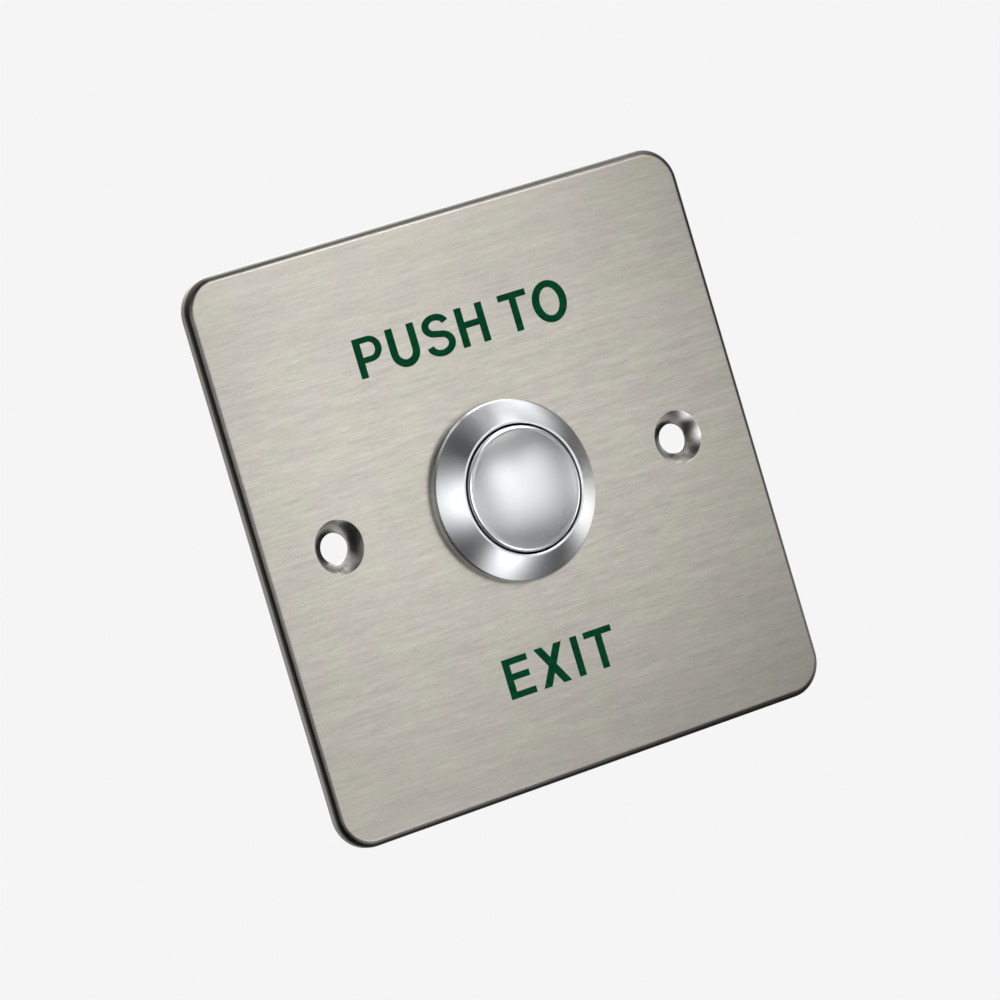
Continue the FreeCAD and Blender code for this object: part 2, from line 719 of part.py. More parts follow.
base_cuts = [
    block("chamber_slot", ("-(%s)" % chamber_half, chamber_half),
          ("cover_back - cover_thickness", "chamber_floor"),
          ("-(%s)" % wide_half, wide_half)),
    rod("chamber_middle", "chamber_bore / 2",
        ("cover_back - cover_thickness", "chamber_floor")),
    block("seat_pocket", ("-(%s)" % seat_half, seat_half),
          ("chamber_floor - strip_thickness", "seat_back"),
          ("-(%s)" % seat_half, tail_back + " + slot_clearance")),
    block("tail_slot", ("-(%s)" % seat_half, seat_half),
          ("seat_front", "base_back + bay_depth"),
          (tail_front + " - slot_clearance", tail_back + " + slot_clearance")),
    block("right_slot", (slot_inner, chamber_half),
          ("open_face", "base_back + bay_depth"), ("-(%s)" % wide_half, wide_half)),
    block("left_slot", ("-(%s)" % chamber_half, "-(%s)" % slot_inner),
          ("open_face", "base_back + bay_depth"), ("-(%s)" % wide_half, wide_half)),
    block("right_bay", (pad_left + " - slot_clearance", bay_reach),
          ("base_back", "bay_rim + bay_depth"), ("-" + bay_reach, wide_half)),
    block("left_bay", ("-" + bay_reach, "-(%s) + slot_clearance" % pad_left),
          ("base_back", "bay_rim + bay_depth"), ("-" + bay_reach, wide_half)),
    block("common_bay", ("-(%s)" % pad_half, pad_half),
          ("base_back", "bay_rim + bay_depth"), (tail_front + " - slot_clearance", bay_reach)),
]
for side, place in SCREWS.items():
    base_cuts.append(rod(
        "screw_hole_" + side, "screw_diameter / 2 + hole_clearance",
        ("screw_tip - stop_clearance", "base_back + bay_depth"), place,
    ))
as_node(cut("switch_base", base_stock, base_cuts), "switch_base")


def mirrored(span, side):
    """A span in X on the right-hand side, or its mirror image on the left."""
    low, high = span
    return span if side > 0 else ("-(%s)" % high, "-(%s)" % low)


def strip_terminal(name, side, arm_front, screw):
    """
    A bent brass strip: an arm in the chamber that carries a fixed contact, a
    leg along the chamber's wall and through the base, and a pad for the screw.
    """
    arm_span = ("contact_offset - contact_land", "terminal_reach")
    leg_span = ("terminal_reach - strip_thickness", "terminal_reach")
    pad_span = (pad_left, "terminal_reach")
    width = ("-(%s)" % strip_half, strip_half)
    arm_back = arm_front + " + strip_thickness"
    strip = joined(name + "_strip", [
        block(name + "_arm", mirrored(arm_span, side), (arm_front, arm_back), width),
        block(name + "_leg", mirrored(leg_span, side), (arm_front, "pad_back"), width),
        block(name + "_pad", mirrored(pad_span, side), ("base_back", "pad_back"),
              (pad_low, strip_half)),
    ])
    contact_x = "contact_offset" if side > 0 else "-contact_offset"
    holes_in_strip = [
        rod(name + "_contact_hole", "shank_diameter / 2 + hole_clearance",
            (arm_front + " - strip_thickness", arm_back + " + strip_thickness"),
            (contact_x, "0")),
        rod(name + "_screw_hole", "screw_diameter / 2 + hole_clearance",
            ("base_back - strip_thickness", "pad_back + strip_thickness"), screw),
    ]
    return as_node(cut(name, strip, holes_in_strip), name)


strip_terminal("closed_terminal", 1, "cover_back", SCREWS["closed"])
strip_terminal("open_terminal", -1, "open_face", SCREWS["open"])

# Common terminal: a brass strip bent twice, whose seat carries the contact
# spring, with a tail through the base and a pad for its screw.
common_strip = joined("common_terminal_strip", [
    block("common_seat", ("-seat_width / 2", "seat_width / 2"),
          ("seat_front", "seat_back"), ("-seat_width / 2", tail_back)),
    block("common_tail", ("-seat_width / 2", "seat_width / 2"),
          ("seat_front", "pad_back"), (tail_front, tail_back)),
    block("common_pad", ("-pad_width / 2", "pad_width / 2"),
          ("base_back", "pad_back"), (tail_front, "common_rise + pad_end")),
])
common_hole = rod("common_screw_hole", "screw_diameter / 2 + hole_clearance",
                  ("base_back - strip_thickness", "pad_back + strip_thickness"),
                  SCREWS["common"])
as_node(cut("common_terminal", common_strip, [common_hole]), "common_terminal")

# Contact bridge: a bronze strip across the chamber, held on the plunger's pin
# by the contact spring, with a silver contact at each end.
bridge_half = "contact_offset + contact_land"
bridge_strip = joined("contact_bridge_strip", [
    block("bridge_bar", ("-(%s)" % bridge_half, bridge_half),
          ("bridge_front", "bridge_back"), ("-bridge_width / 2", "bridge_width / 2")),
    rod("bridge_middle", "bridge_boss / 2", ("bridge_front", "bridge_back")),
])
through_bridge = ("bridge_front - bridge_thickness", "bridge_back + bridge_thickness")
bridge_holes = [rod("bridge_pin_hole", "tip_diameter / 2 + hole_clearance", through_bridge)]
for side, place in (("closed", "contact_offset"), ("open", "-contact_offset")):
    bridge_holes.append(rod("bridge_hole_" + side, "shank_diameter / 2 + hole_clearance",
                            through_bridge, (place, "0")))
as_node(cut("contact_bridge", bridge_strip, bridge_holes), "contact_bridge")


def contact_rivet(name, place, head, shank):
    """A silver rivet: a flat head on one side of a strip, and a shank through it."""
    rivet = joined(name, [
        rod(name + "_head", "head_diameter / 2", head, (place, "0")),
        rod(name + "_shank", "shank_diameter / 2", shank, (place, "0")),
    ])
    return as_node(rivet, name)


# Contacts: the closed pair touches while the button is out, the open pair
# touches once it is pressed.
contact_rivet("closed_contact", "contact_offset",
              ("closed_face", "closed_face + contact_head"), ("cover_back", "closed_face"))
contact_rivet("open_contact", "-contact_offset",
              ("open_face - contact_head", "open_face"), ("open_face", "chamber_floor"))
contact_rivet("bridge_contact_closed", "contact_offset",
              ("bridge_front - contact_head", "bridge_front"), ("bridge_front", "bridge_back"))
contact_rivet("bridge_contact_open", "-contact_offset",
              ("bridge_back", "bridge_back + contact_head"), ("bridge_front", "bridge_back"))


def terminal_screw(name, place):
    """A cheese-head screw with a cross slot, its shank in the base."""
    screw_radius = "screw_diameter / 2"
    head_radius = "screw_head / 2"
    stock = turned(name + "_stock", [
        ("0", "screw_tip"),
        (screw_radius + " - head_break", "screw_tip"),
        (screw_radius, "screw_tip + head_break"),
        (screw_radius, "clamp_back"),
        (head_radius, "clamp_back"),
        (head_radius, "screw_top - head_break"),
        (head_radius + " - head_break", "screw_top"),
        ("0", "screw_top"),
    ], axis_at=place)
    depth = ("screw_top - slot_depth", "screw_top + slot_depth")
    narrow = "slot_width / 2"
    long = "slot_length / 2"
    slots = []
    for number, (half_x, half_z) in enumerate(((narrow, long), (long, narrow))):
        slots.append(block(
            "%s_slot_%d" % (name, number),
            ("%s - %s" % (place[0], half_x), "%s + %s" % (place[0], half_x)),
            depth,
            ("%s - %s" % (place[1], half_z), "%s + %s" % (place[1], half_z)),
        ))
    return as_node(cut(name, stock, slots), name)


def wire_clamp(name, place):
    """A square steel washer that the screw presses on the wire."""
    half = "clamp_width / 2"
    plate_blank = block(
        name + "_square",
        ("%s - %s" % (place[0], half), "%s + %s" % (place[0], half)),
        ("pad_back", "clamp_back"),
        ("%s - %s" % (place[1], half), "%s + %s" % (place[1], half)),
    )
    hole = rod(name + "_hole", "screw_diameter / 2 + hole_clearance",
               ("pad_back - clamp_thickness", "clamp_back + clamp_thickness"), place)
    return as_node(cut(name, plate_blank, [hole]), name)


# Terminal screws and wire clamps: one of each on the three terminals.
for side, place in SCREWS.items():
    wire_clamp("wire_clamp_" + side, place)
    terminal_screw("terminal_screw_" + side, place)

doc.recompute()

# Everything must have been made before anything is written.
for thing in doc.Objects:
    if "Invalid" in thing.State or "Error" in thing.State:
        raise RuntimeError("%s failed: %s" % (thing.Label, thing.State))
for thing in nodes:
    shape = thing.Shape
    if shape.isNull() or not shape.isValid():
        raise RuntimeError("%s has no valid shape" % thing.Label)

os.makedirs("parts", exist_ok=True)
for thing in nodes:
    thing.Shape.exportStep("parts/%s.step" % thing.Label)
    box = thing.Shape.BoundBox
    print("%-24s %10.2f mm3  %d solid(s)  x %6.2f %6.2f  y %6.2f %6.2f  z %6.2f %6.2f" % (
        thing.Label, thing.Shape.Volume, len(thing.Shape.Solids),
        box.XMin, box.XMax, box.YMin, box.YMax, box.ZMin, box.ZMax))
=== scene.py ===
from math import cos, pi, radians, sin, sqrt, tan

import bmesh
import bpy
import numpy as np
from mathutils import Matrix, Vector


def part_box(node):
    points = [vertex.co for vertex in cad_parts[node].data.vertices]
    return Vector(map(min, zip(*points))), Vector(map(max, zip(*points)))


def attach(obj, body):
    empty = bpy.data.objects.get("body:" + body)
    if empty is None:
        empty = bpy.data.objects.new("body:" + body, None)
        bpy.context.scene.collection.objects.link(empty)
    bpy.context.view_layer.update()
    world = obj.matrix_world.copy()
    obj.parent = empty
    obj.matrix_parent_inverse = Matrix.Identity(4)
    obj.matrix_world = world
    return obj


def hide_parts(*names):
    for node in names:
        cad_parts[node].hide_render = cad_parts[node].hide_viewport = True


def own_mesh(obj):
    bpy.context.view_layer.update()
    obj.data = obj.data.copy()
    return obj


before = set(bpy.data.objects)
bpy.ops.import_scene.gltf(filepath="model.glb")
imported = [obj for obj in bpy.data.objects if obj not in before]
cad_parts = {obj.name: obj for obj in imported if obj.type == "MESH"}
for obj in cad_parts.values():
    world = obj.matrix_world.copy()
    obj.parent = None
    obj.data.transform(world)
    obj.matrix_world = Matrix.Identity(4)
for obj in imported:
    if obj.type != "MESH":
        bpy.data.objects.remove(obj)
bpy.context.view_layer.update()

# Face plate: a square of stainless sheet, brushed from side to side, with round
# corners and a rounded front edge. Two countersunk holes take the screws of the
# wall box, and the button's barrel goes through its middle.
MM = 0.001
MERGE = 1e-7
TURN_STEPS = 192
SMALL_TURN = 96
SHORT_SIDE = 0.45
LEAST_ROUND = 1e-5


def box_mm(name):
    """A node's lowest and highest corners, in millimetres."""
    return [np.array(corner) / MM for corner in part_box(name)]


def turned_grid(profile, around=TURN_STEPS, centre=(0.0, 0.0)):
    """A profile of radius and place along Y, turned about a line along Y: each of its
    points goes round at the radius times the cosine and sine of the turn."""
    radius, along = np.array(profile, float).T
    turn = np.linspace(0, 2 * pi, around, endpoint=False)
    x = centre[0] + radius[:, None] * np.cos(turn)
    z = centre[1] + radius[:, None] * np.sin(turn)
    return np.stack([x, along[:, None] + 0 * turn, z], axis=-1)


def softened(corners, radius, closed=True, steps=4):
    """An outline whose corners are arcs. An arc starts and ends the radius over the
    tangent of half the corner's angle away from it, or less where a side is short."""
    corners = np.array(corners, float)
    before = np.roll(corners, 1, axis=0) - corners
    after = np.roll(corners, -1, axis=0) - corners
    room = SHORT_SIDE * np.minimum(np.hypot(*before.T), np.hypot(*after.T))
    before /= np.hypot(*before.T)[:, None]
    after /= np.hypot(*after.T)[:, None]
    half = np.arccos(np.clip((before * after).sum(axis=1), -1, 1)) / 2
    wanted = np.maximum(np.broadcast_to(radius, half.shape), LEAST_ROUND)
    reach = np.minimum(wanted / np.tan(half), room)
    bend = reach * np.tan(half)
    middle = before + after
    middle *= (bend / np.sin(half) / np.hypot(*middle.T))[:, None]
    start = before * reach[:, None] - middle
    end = after * reach[:, None] - middle
    sweep = (pi - 2 * half)[:, None]
    share = np.linspace(0, 1, steps + 1)
    out_of = (np.sin((1 - share) * sweep) / np.sin(sweep))[..., None]
    into = (np.sin(share * sweep) / np.sin(sweep))[..., None]
    arcs = (corners + middle)[:, None] + out_of * start[:, None] + into * end[:, None]
    if closed:
        return np.concatenate([arcs.reshape(-1, 2), arcs[0, :1]])
    return np.concatenate([corners[:1], arcs[1:-1].reshape(-1, 2), corners[-1:]])


def placed(name, data):
    """An object in the scene that holds a mesh or a camera."""
    made = bpy.data.objects.new(name, data)
    bpy.context.scene.collection.objects.link(made)
    return made


def mesh_piece(name, *grids, flats=(), sharp=35):
    """A closed mesh of grids of points in millimetres. Each grid is joined round its
    columns, and to the others where their ends meet. The open edges that lie at a y
    of flats are filled with a flat face. Edges that turn by more than sharp degrees
    stay sharp."""
    points, quads, start = [], [], 0
    for grid in grids:
        rows, columns = grid.shape[:2]
        row, column = np.mgrid[0:rows - 1, 0:columns]
        beside = (column + 1) % columns
        corners = [row * columns + column, row * columns + beside,
                   (row + 1) * columns + beside, (row + 1) * columns + column]
        points.append(grid.reshape(-1, 3) * MM)
        quads.append(np.stack(corners, axis=-1).reshape(-1, 4) + start)
        start += rows * columns
    mesh = bpy.data.meshes.new(name)
    mesh.from_pydata(np.concatenate(points).tolist(), [], np.concatenate(quads).tolist())
    mesh.shade_smooth()
    shape = bmesh.new()
    shape.from_mesh(mesh)
    bmesh.ops.remove_doubles(shape, verts=shape.verts, dist=MERGE)
    for level in flats:
        rim = [edge for edge in shape.edges if edge.is_boundary
               and all(abs(end.co.y - level * MM) < MERGE for end in edge.verts)]
        for made in bmesh.ops.triangle_fill(shape, edges=rim, use_beauty=True)["geom"]:
            if isinstance(made, bmesh.types.BMFace):
                made.smooth = False
    bmesh.ops.recalc_face_normals(shape, faces=shape.faces)
    curved = [face.smooth for face in shape.faces]
    shape.to_mesh(mesh)
    shape.free()
    mesh.set_sharp_from_angle(angle=radians(sharp))
    mesh.polygons.foreach_set("use_smooth", curved)
    return placed(name, mesh)


def dress(piece, body, slot, material, *nodes):
    """The piece rides on its body, takes its finish and stands for its solids."""
    piece.data.materials.clear()
    piece.data.materials.append(material)
    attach(piece, body)
    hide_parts(*nodes)


def node(tree, kind, inputs=None, **settings):
    """A shader node whose inputs are values or the outputs of other nodes."""
    made = tree.nodes.new("ShaderNode" + kind)
    for name, value in settings.items():
        setattr(made, name, value)
    for name, value in (inputs or {}).items():
        if isinstance(value, bpy.types.NodeSocket):
            tree.links.new(value, made.inputs[name])
        else:
            made.inputs[name].default_value = value
    return made


def worked(tree, operation, *values, **settings):
    """The result of a Math node on numbers or the outputs of other nodes."""
    return node(tree, "Math", dict(enumerate(values)), operation=operation, **settings).outputs[0]


def own_place(tree):
    """The coordinates of the piece itself."""
    return node(tree, "TexCoord").outputs["Object"]


def spread(tree, value, low, high, start=0.3, end=0.7):
    """A value from start to end carried over to low and high. Most of a noise lies
    between the two that are given here."""
    inputs = {"Value": value, "From Min": start, "From Max": end, "To Min": low, "To Max": high}
    return node(tree, "MapRange", inputs).outputs["Result"]


def tinted(tree, value, dark, light):
    """A colour between two others, as a value goes from 0 to 1."""
    ramp = node(tree, "ValToRGB", {"Fac": value})
    ramp.color_ramp.elements[0].color = (*dark, 1)
    ramp.color_ramp.elements[1].color = (*light, 1)
    return ramp.outputs["Color"]


COLOUR_MIX_INPUTS = (0, 6, 7)
COLOUR_MIX_OUTPUT = 2


def mixed(tree, share, first, second):
    """One colour turning into another as the share goes from 0 to 1. A Mix node has
    sockets for each kind of data, and those of colours are picked by their number."""
    made = node(tree, "Mix", data_type="RGBA")
    for source, number in zip((share, first, second), COLOUR_MIX_INPUTS):
        tree.links.new(source, made.inputs[number])
    return made.outputs[COLOUR_MIX_OUTPUT]


def shader_group(name, inputs, build):
    """A node group with number inputs, a Vector input and one Value output."""
    group = bpy.data.node_groups.new(name, "ShaderNodeTree")
    group.interface.new_socket("Vector", in_out="INPUT", socket_type="NodeSocketVector")
    for label, start in inputs.items():
        socket = group.interface.new_socket(label, in_out="INPUT", socket_type="NodeSocketFloat")
        socket.default_value = start
    group.interface.new_socket("Value", in_out="OUTPUT", socket_type="NodeSocketFloat")
    entry = group.nodes.new("NodeGroupInput")
    leave = group.nodes.new("NodeGroupOutput")
    group.links.new(build(group, entry.outputs), leave.inputs["Value"])
    return group


def use(tree, group, **inputs):
    """The output of a node group placed on the piece's own coordinates."""
    place = own_place(tree)
    return node(tree, "Group", {"Vector": place, **inputs}, node_tree=group).outputs["Value"]


def finish(name, build, **settings):
    """A material with one Principled shader: settings are its plain values, and build
    gives the outputs that feed its other sockets, with a height for its bump."""
    material = bpy.data.materials.new(name)
    material.use_nodes = True
    tree = material.node_tree
    shader = tree.nodes["Principled BSDF"]
    for label, value in settings.items():
        shader.inputs[label.replace("_", " ")].default_value = value
    for label, output in build(tree).items():
        if label == "Height":
            value, strength, distance = output
            bump = node(tree, "Bump", {"Height": value, "Strength": strength, "Distance": distance})
            tree.links.new(bump.outputs["Normal"], shader.inputs["Normal"])
        else:
            tree.links.new(output, shader.inputs[label])
    return material


def lines_group(group, entry):
    """Fine lines along X: noise drawn out that way, coarse and fine together."""
    along, across = entry["Along"], entry["Across"]
    stretch = node(group, "CombineXYZ", {"X": along, "Y": across, "Z": across})
    place = node(group, "VectorMath", {0: entry["Vector"], 1: stretch.outputs[0]}, operation="MULTIPLY")
    noise = node(group, "TexNoise", {"Vector": place.outputs[0], "Scale": 1.0, "Detail": 3.0,
                                     "Roughness": 0.65})
    return noise.outputs["Fac"]


def grain_group(group, entry):
    """An even grain: noise with as many grains to a metre as Scale says."""
    noise = node(group, "TexNoise", {"Vector": entry["Vector"], "Scale": entry["Scale"],
                                     "Detail": 2.0, "Roughness": 0.6})
    return noise.outputs["Fac"]


brush_lines = shader_group("brush_lines", {"Along": 140, "Across": 5500}, lines_group)
even_grain = shader_group("even_grain", {"Scale": 1000}, grain_group)

PLATE_CORNER = 5.5
PLATE_EDGE = 1.1
PLATE_BACK_BREAK = 0.12
FIXING_SPACING = 60
FIXING_HOLE = 4.5
FIXING_LAND = 0.25
MOUTH_BREAK = 0.07
BARREL_HOLE = 22.3
EDGE_STEPS = 12
CORNER_STEPS = 18
plate_low, plate_high = box_mm("face_plate")
plate_half = plate_high[0]
plate_front = plate_low[1]
plate_back = plate_high[1]


def plate_edge():
    """The sheet's outline, drawn in by an inset that goes from the sheet's flat front
    over a quarter circle to its side, and over a small break to its back."""
    turn = np.linspace(0, pi / 2, EDGE_STEPS)
    inset = np.concatenate([PLATE_EDGE * (1 - np.sin(turn)), [0, PLATE_BACK_BREAK]])
    depth = np.concatenate([plate_front + PLATE_EDGE * (1 - np.cos(turn)),
                            [plate_back - PLATE_BACK_BREAK, plate_back]])
    corner = np.arange(4)[:, None] * pi / 2
    angle = (corner + np.linspace(0, pi / 2, CORNER_STEPS)).ravel()
    quarter = (corner + pi / 4 + np.zeros(CORNER_STEPS)).ravel()
    reach = plate_half - PLATE_CORNER
    radius = PLATE_CORNER - inset[:, None]
    x = reach * np.sign(np.cos(quarter)) + radius * np.cos(angle)
    z = reach * np.sign(np.sin(quarter)) + radius * np.sin(angle)
    return np.stack([x, depth[:, None] + 0 * angle, z], axis=-1)


hole = FIXING_HOLE / 2
mouth = hole + plate_back - plate_front - FIXING_LAND
fixing_wall = [(mouth + MOUTH_BREAK, plate_front),
               (mouth - MOUTH_BREAK / 2, plate_front + MOUTH_BREAK),
               (hole + MOUTH_BREAK, plate_back - FIXING_LAND - MOUTH_BREAK),
               (hole, plate_back - FIXING_LAND + MOUTH_BREAK / 2),
               (hole, plate_back)]
barrel_wall = [(BARREL_HOLE / 2, plate_front), (BARREL_HOLE / 2, plate_back)]
face_plate = mesh_piece(
    "face_plate_sheet",
    plate_edge(),
    turned_grid(fixing_wall, SMALL_TURN, (-FIXING_SPACING / 2, 0)),
    turned_grid(fixing_wall, SMALL_TURN, (FIXING_SPACING / 2, 0)),
    turned_grid(barrel_wall, SMALL_TURN),
    flats=(plate_front, plate_back),
)

GREENISH_DARK = (0.520, 0.501, 0.438)
GREENISH_LIGHT = (0.715, 0.689, 0.602)
PINKISH_DARK = (0.516, 0.489, 0.446)
PINKISH_LIGHT = (0.709, 0.672, 0.613)
# Painted dark reflection: the plate's side and rounded front edge take tones far darker than the
# sheet's steel, darkest on the rounding.
PAINTED_SIDE_DARK = (0.250, 0.242, 0.223)
PAINTED_SIDE_LIGHT = (0.310, 0.300, 0.277)
PAINTED_ROUNDING_DARK = (0.085, 0.082, 0.077)
PAINTED_ROUNDING_LIGHT = (0.115, 0.111, 0.104)
# Painted shade in the countersinks: a tone darker than the brushed face.
PAINTED_SINK_DARK = (0.420, 0.410, 0.390)
PAINTED_SINK_LIGHT = (0.520, 0.510, 0.485)
SINK_REACH = 4.3
SINK_BLEND = 0.1
SINK_GLOSS = -0.12
# Along Y: where the brushed face ends, where the edge's side starts, and how
# soft both changes are.
CUT_START = 0.003
CUT_END = 0.02
CUT_BLEND = 0.03
SIDE_START = 0.6
SIDE_BLEND = 0.3


def along_band(tree, start, end, soft):
    """1 between two places along Y, in millimetres, and 0 outside them, with a soft
    change inside both ends."""
    along = node(tree, "SeparateXYZ", {0: own_place(tree)}).outputs["Y"]
    after = spread(tree, along, 0, 1, start * MM, (start + soft) * MM)
    before = spread(tree, along, 1, 0, (end - soft) * MM, end * MM)
    return worked(tree, "MULTIPLY", after, before)


def in_sinks(tree):
    """1 within SINK_REACH of the axis of a countersink, and 0 outside it: the distance
    is that of the point (|x| less half the spacing, z)."""
    parts = node(tree, "SeparateXYZ", {0: own_place(tree)}).outputs
    aside = worked(tree, "ABSOLUTE", parts["X"])
    over = worked(tree, "SUBTRACT", aside, FIXING_SPACING / 2 * MM)
    offset = node(tree, "CombineXYZ", {"X": over, "Z": parts["Z"]}).outputs[0]
    away = node(tree, "VectorMath", {0: offset}, operation="LENGTH").outputs["Value"]
    return spread(tree, away, 1, 0, SINK_REACH * MM, (SINK_REACH + SINK_BLEND) * MM)


def brushed_steel(tree):
    """Short brush lines from side to side in two scales, over patches that are a little
    greener or pinker. The rounded edge and the side carry a painted dark reflection,
    darkest on the rounded edge and less dark on the side. The countersinks carry
    painted shade, a darker tone, and are smoother."""
    fine = use(tree, brush_lines, Along=380, Across=3200)
    long = use(tree, brush_lines, Along=100, Across=1300)
    speck = use(tree, even_grain, Scale=2400)
    patch = use(tree, even_grain, Scale=150)
    both = worked(tree, "MULTIPLY_ADD", long, 1.0, fine)
    all_three = worked(tree, "MULTIPLY_ADD", speck, 0.5, both)
    tone = spread(tree, all_three, 0, 1, start=0.83, end=1.67)
    face = mixed(tree, spread(tree, patch, 0, 1, start=0.4, end=0.6),
                 tinted(tree, tone, PINKISH_DARK, PINKISH_LIGHT),
                 tinted(tree, tone, GREENISH_DARK, GREENISH_LIGHT))
    # Masks of the rounded edge, the side and the countersinks, where the painted dark reflection and
    # painted shade go.
    cut = along_band(tree, plate_front + CUT_START, plate_back - CUT_END, CUT_BLEND)
    side = along_band(tree, plate_front + SIDE_START * PLATE_EDGE, plate_back, SIDE_BLEND)
    sink = in_sinks(tree)
    # Painted dark reflection on the rounded edge and, less dark, on the side.
    edge = mixed(tree, side, tinted(tree, tone, PAINTED_ROUNDING_DARK, PAINTED_ROUNDING_LIGHT),
                 tinted(tree, tone, PAINTED_SIDE_DARK, PAINTED_SIDE_LIGHT))
    # Painted shade in the countersinks, over the painted dark edge elsewhere.
    below = mixed(tree, sink, edge, tinted(tree, tone, PAINTED_SINK_DARK, PAINTED_SINK_LIGHT))
    sunk = worked(tree, "MULTIPLY", cut, sink)
    smoother = worked(tree, "MULTIPLY_ADD", sunk, SINK_GLOSS, spread(tree, fine, 0.36, 0.31))
    return {
        "Base Color": mixed(tree, cut, face, below),
        "Roughness": smoother,
        "Tangent": node(tree, "CombineXYZ", {"X": 1.0}).outputs[0],
        "Height": (all_three, 0.10, 0.00004),
    }


plate_finish = finish("brushed_stainless", brushed_steel, Metallic=1.0, Anisotropic=0.5,
                      Anisotropic_Rotation=0.25)
dress(face_plate, "plate", "brushed_plate", plate_finish, "face_plate")

# Legend: two words that say how to use the button, above and below it. Their
# strokes are etched and filled with green enamel, which stands slightly proud.
LEGEND_PROUD = 0.02
LEGEND_DEPTH = 0.05
LEGEND_TOP = (22.2, 28.15)
LEGEND_BOTTOM = (-29.33, -23.3)
STEM = 1.2
BAR = 0.98
MIDDLE_BAR = 2.72
ROUND_OVER = 0.22


def ellipse(centre, across, up, start=0, end=360, steps=25):
    """Points on an ellipse from one angle to another, in degrees."""
    angle = np.radians(np.linspace(start, end, steps))
    return np.stack([centre[0] + across * np.cos(angle), centre[1] + up * np.sin(angle)], axis=-1)


def pen_stroke(path):
    """The outline of a line drawn with a pen that is STEM wide and BAR high: the line
    moved to both sides along its own normal."""
    ahead = np.gradient(path, axis=0)
    ahead /= np.hypot(*ahead.T)[:, None]
    beside = np.stack([-ahead[:, 1] * STEM, ahead[:, 0] * BAR], axis=-1) / 2
    return np.concatenate([path + beside, (path - beside)[::-1]])


def letter_p(left, right, low, high):
    """A stem with a bowl at its top, and the hole in the bowl."""
    bowl_high = 3.83
    bowl_wide = 2.1
    wall = 0.88
    thinner = 0.08
    middle = (right - bowl_wide, high - bowl_high / 2)
    outer = ellipse(middle, bowl_wide, bowl_high / 2, 90, -90)
    inner = ellipse(middle, bowl_wide - STEM + thinner, bowl_high / 2 - wall, 90, -90)
    body = [(left, high), *outer, (left + STEM, high - bowl_high), (left + STEM, low), (left, low)]
    hole_in_bowl = [(left + STEM, high - wall), *inner, (left + STEM, high - bowl_high + wall)]
    return [body, hole_in_bowl]


def letter_u(left, right, low, high):
    """Two stems joined by half an ellipse."""
    round_high = 2.2
    inner_high = 1.25
    wider = 0.05
    middle = ((left + right) / 2, low + round_high)
    outer = ellipse(middle, (right - left) / 2, round_high + ROUND_OVER, 180, 360)
    inner = ellipse(middle, (right - left) / 2 - STEM - wider, inner_high, 360, 180)
    return [[(left, high), *outer, (right, high), (right - STEM - wider, high), *inner,
             (left + STEM + wider, high)]]


def letter_s(left, right, low, high):
    """A pen stroke along two arcs, each most of an ellipse, joined by a straight spine.
    The upper arc is the smaller one and lies a little further left."""
    across = (right - left - STEM) / 2
    up = (high - low + 2 * ROUND_OVER - BAR) / 4
    centre = (left + right) / 2
    middle = (low + high) / 2
    upper = ellipse((centre - 0.1, middle + up * 1.08), across * 0.93, up * 0.92,
                    start=12, end=243, steps=29)
    lower = ellipse((centre + 0.03, middle - up * 0.95), across * 1.02, up * 1.05,
                    start=63, end=-172, steps=29)
    return [pen_stroke(np.concatenate([upper, lower]))]


def letter_h(left, right, low, high):
    """Two stems and a bar between them."""
    bar_low = low + MIDDLE_BAR
    stem = STEM + 0.03
    return [[(left, low), (left + stem, low), (left + stem, bar_low), (right - stem, bar_low),
             (right - stem, low), (right, low), (right, high), (right - stem, high),
             (right - stem, bar_low + BAR), (left + stem, bar_low + BAR), (left + stem, high),
             (left, high)]]


def letter_t(left, right, low, high):
    """A bar across the top of a stem."""
    stem = (left + right - STEM) / 2
    return [[(left, high), (left, high - BAR), (stem, high - BAR), (stem, low),
             (stem + STEM, low), (stem + STEM, high - BAR), (right, high - BAR), (right, high)]]


def letter_o(left, right, low, high):
    """An ellipse with a smaller one inside it."""
    centre = ((left + right) / 2, (low + high) / 2)
    across = (right - left) / 2
    up = (high - low) / 2 + ROUND_OVER
    wider = 0.12
    higher = 0.08
    outer = ellipse(centre, across, up, steps=57)[:-1]
    inner = ellipse(centre, across - STEM - wider, up - BAR - higher, steps=49)[:-1]
    return [outer, inner]


def letter_e(left, right, low, high):
    """A stem with three bars."""
    bar_low = low + MIDDLE_BAR
    upper = right - 0.15
    centre = right - 0.4
    return [[(left, low), (right, low), (right, low + BAR), (left + STEM, low + BAR),
             (left + STEM, bar_low), (centre, bar_low), (centre, bar_low + BAR),
             (left + STEM, bar_low + BAR), (left + STEM, high - BAR), (upper, high - BAR),
             (upper, high), (left, high)]]


def letter_x(left, right, low, high):
    """Two slanting strokes that cross: the notches lie where their edges meet."""
    arm = 1.42
    slope = (high - low) / (right - left - arm)
    centre = ((left + right) / 2, (low + high) / 2)
    up = (high - low) / 2 - slope * (centre[0] - left - arm)
    across = up / slope
    return [[(left, high), (left + arm, high), (centre[0], centre[1] + up), (right - arm, high),
             (right, high), (centre[0] + across, centre[1]), (right, low), (right - arm, low),
             (centre[0], centre[1] - up), (left + arm, low), (left, low),
             (centre[0] - across, centre[1])]]


def letter_i(left, right, low, high):
    """One stem."""
    return [[(left, low), (right, low), (right, high), (left, high)]]


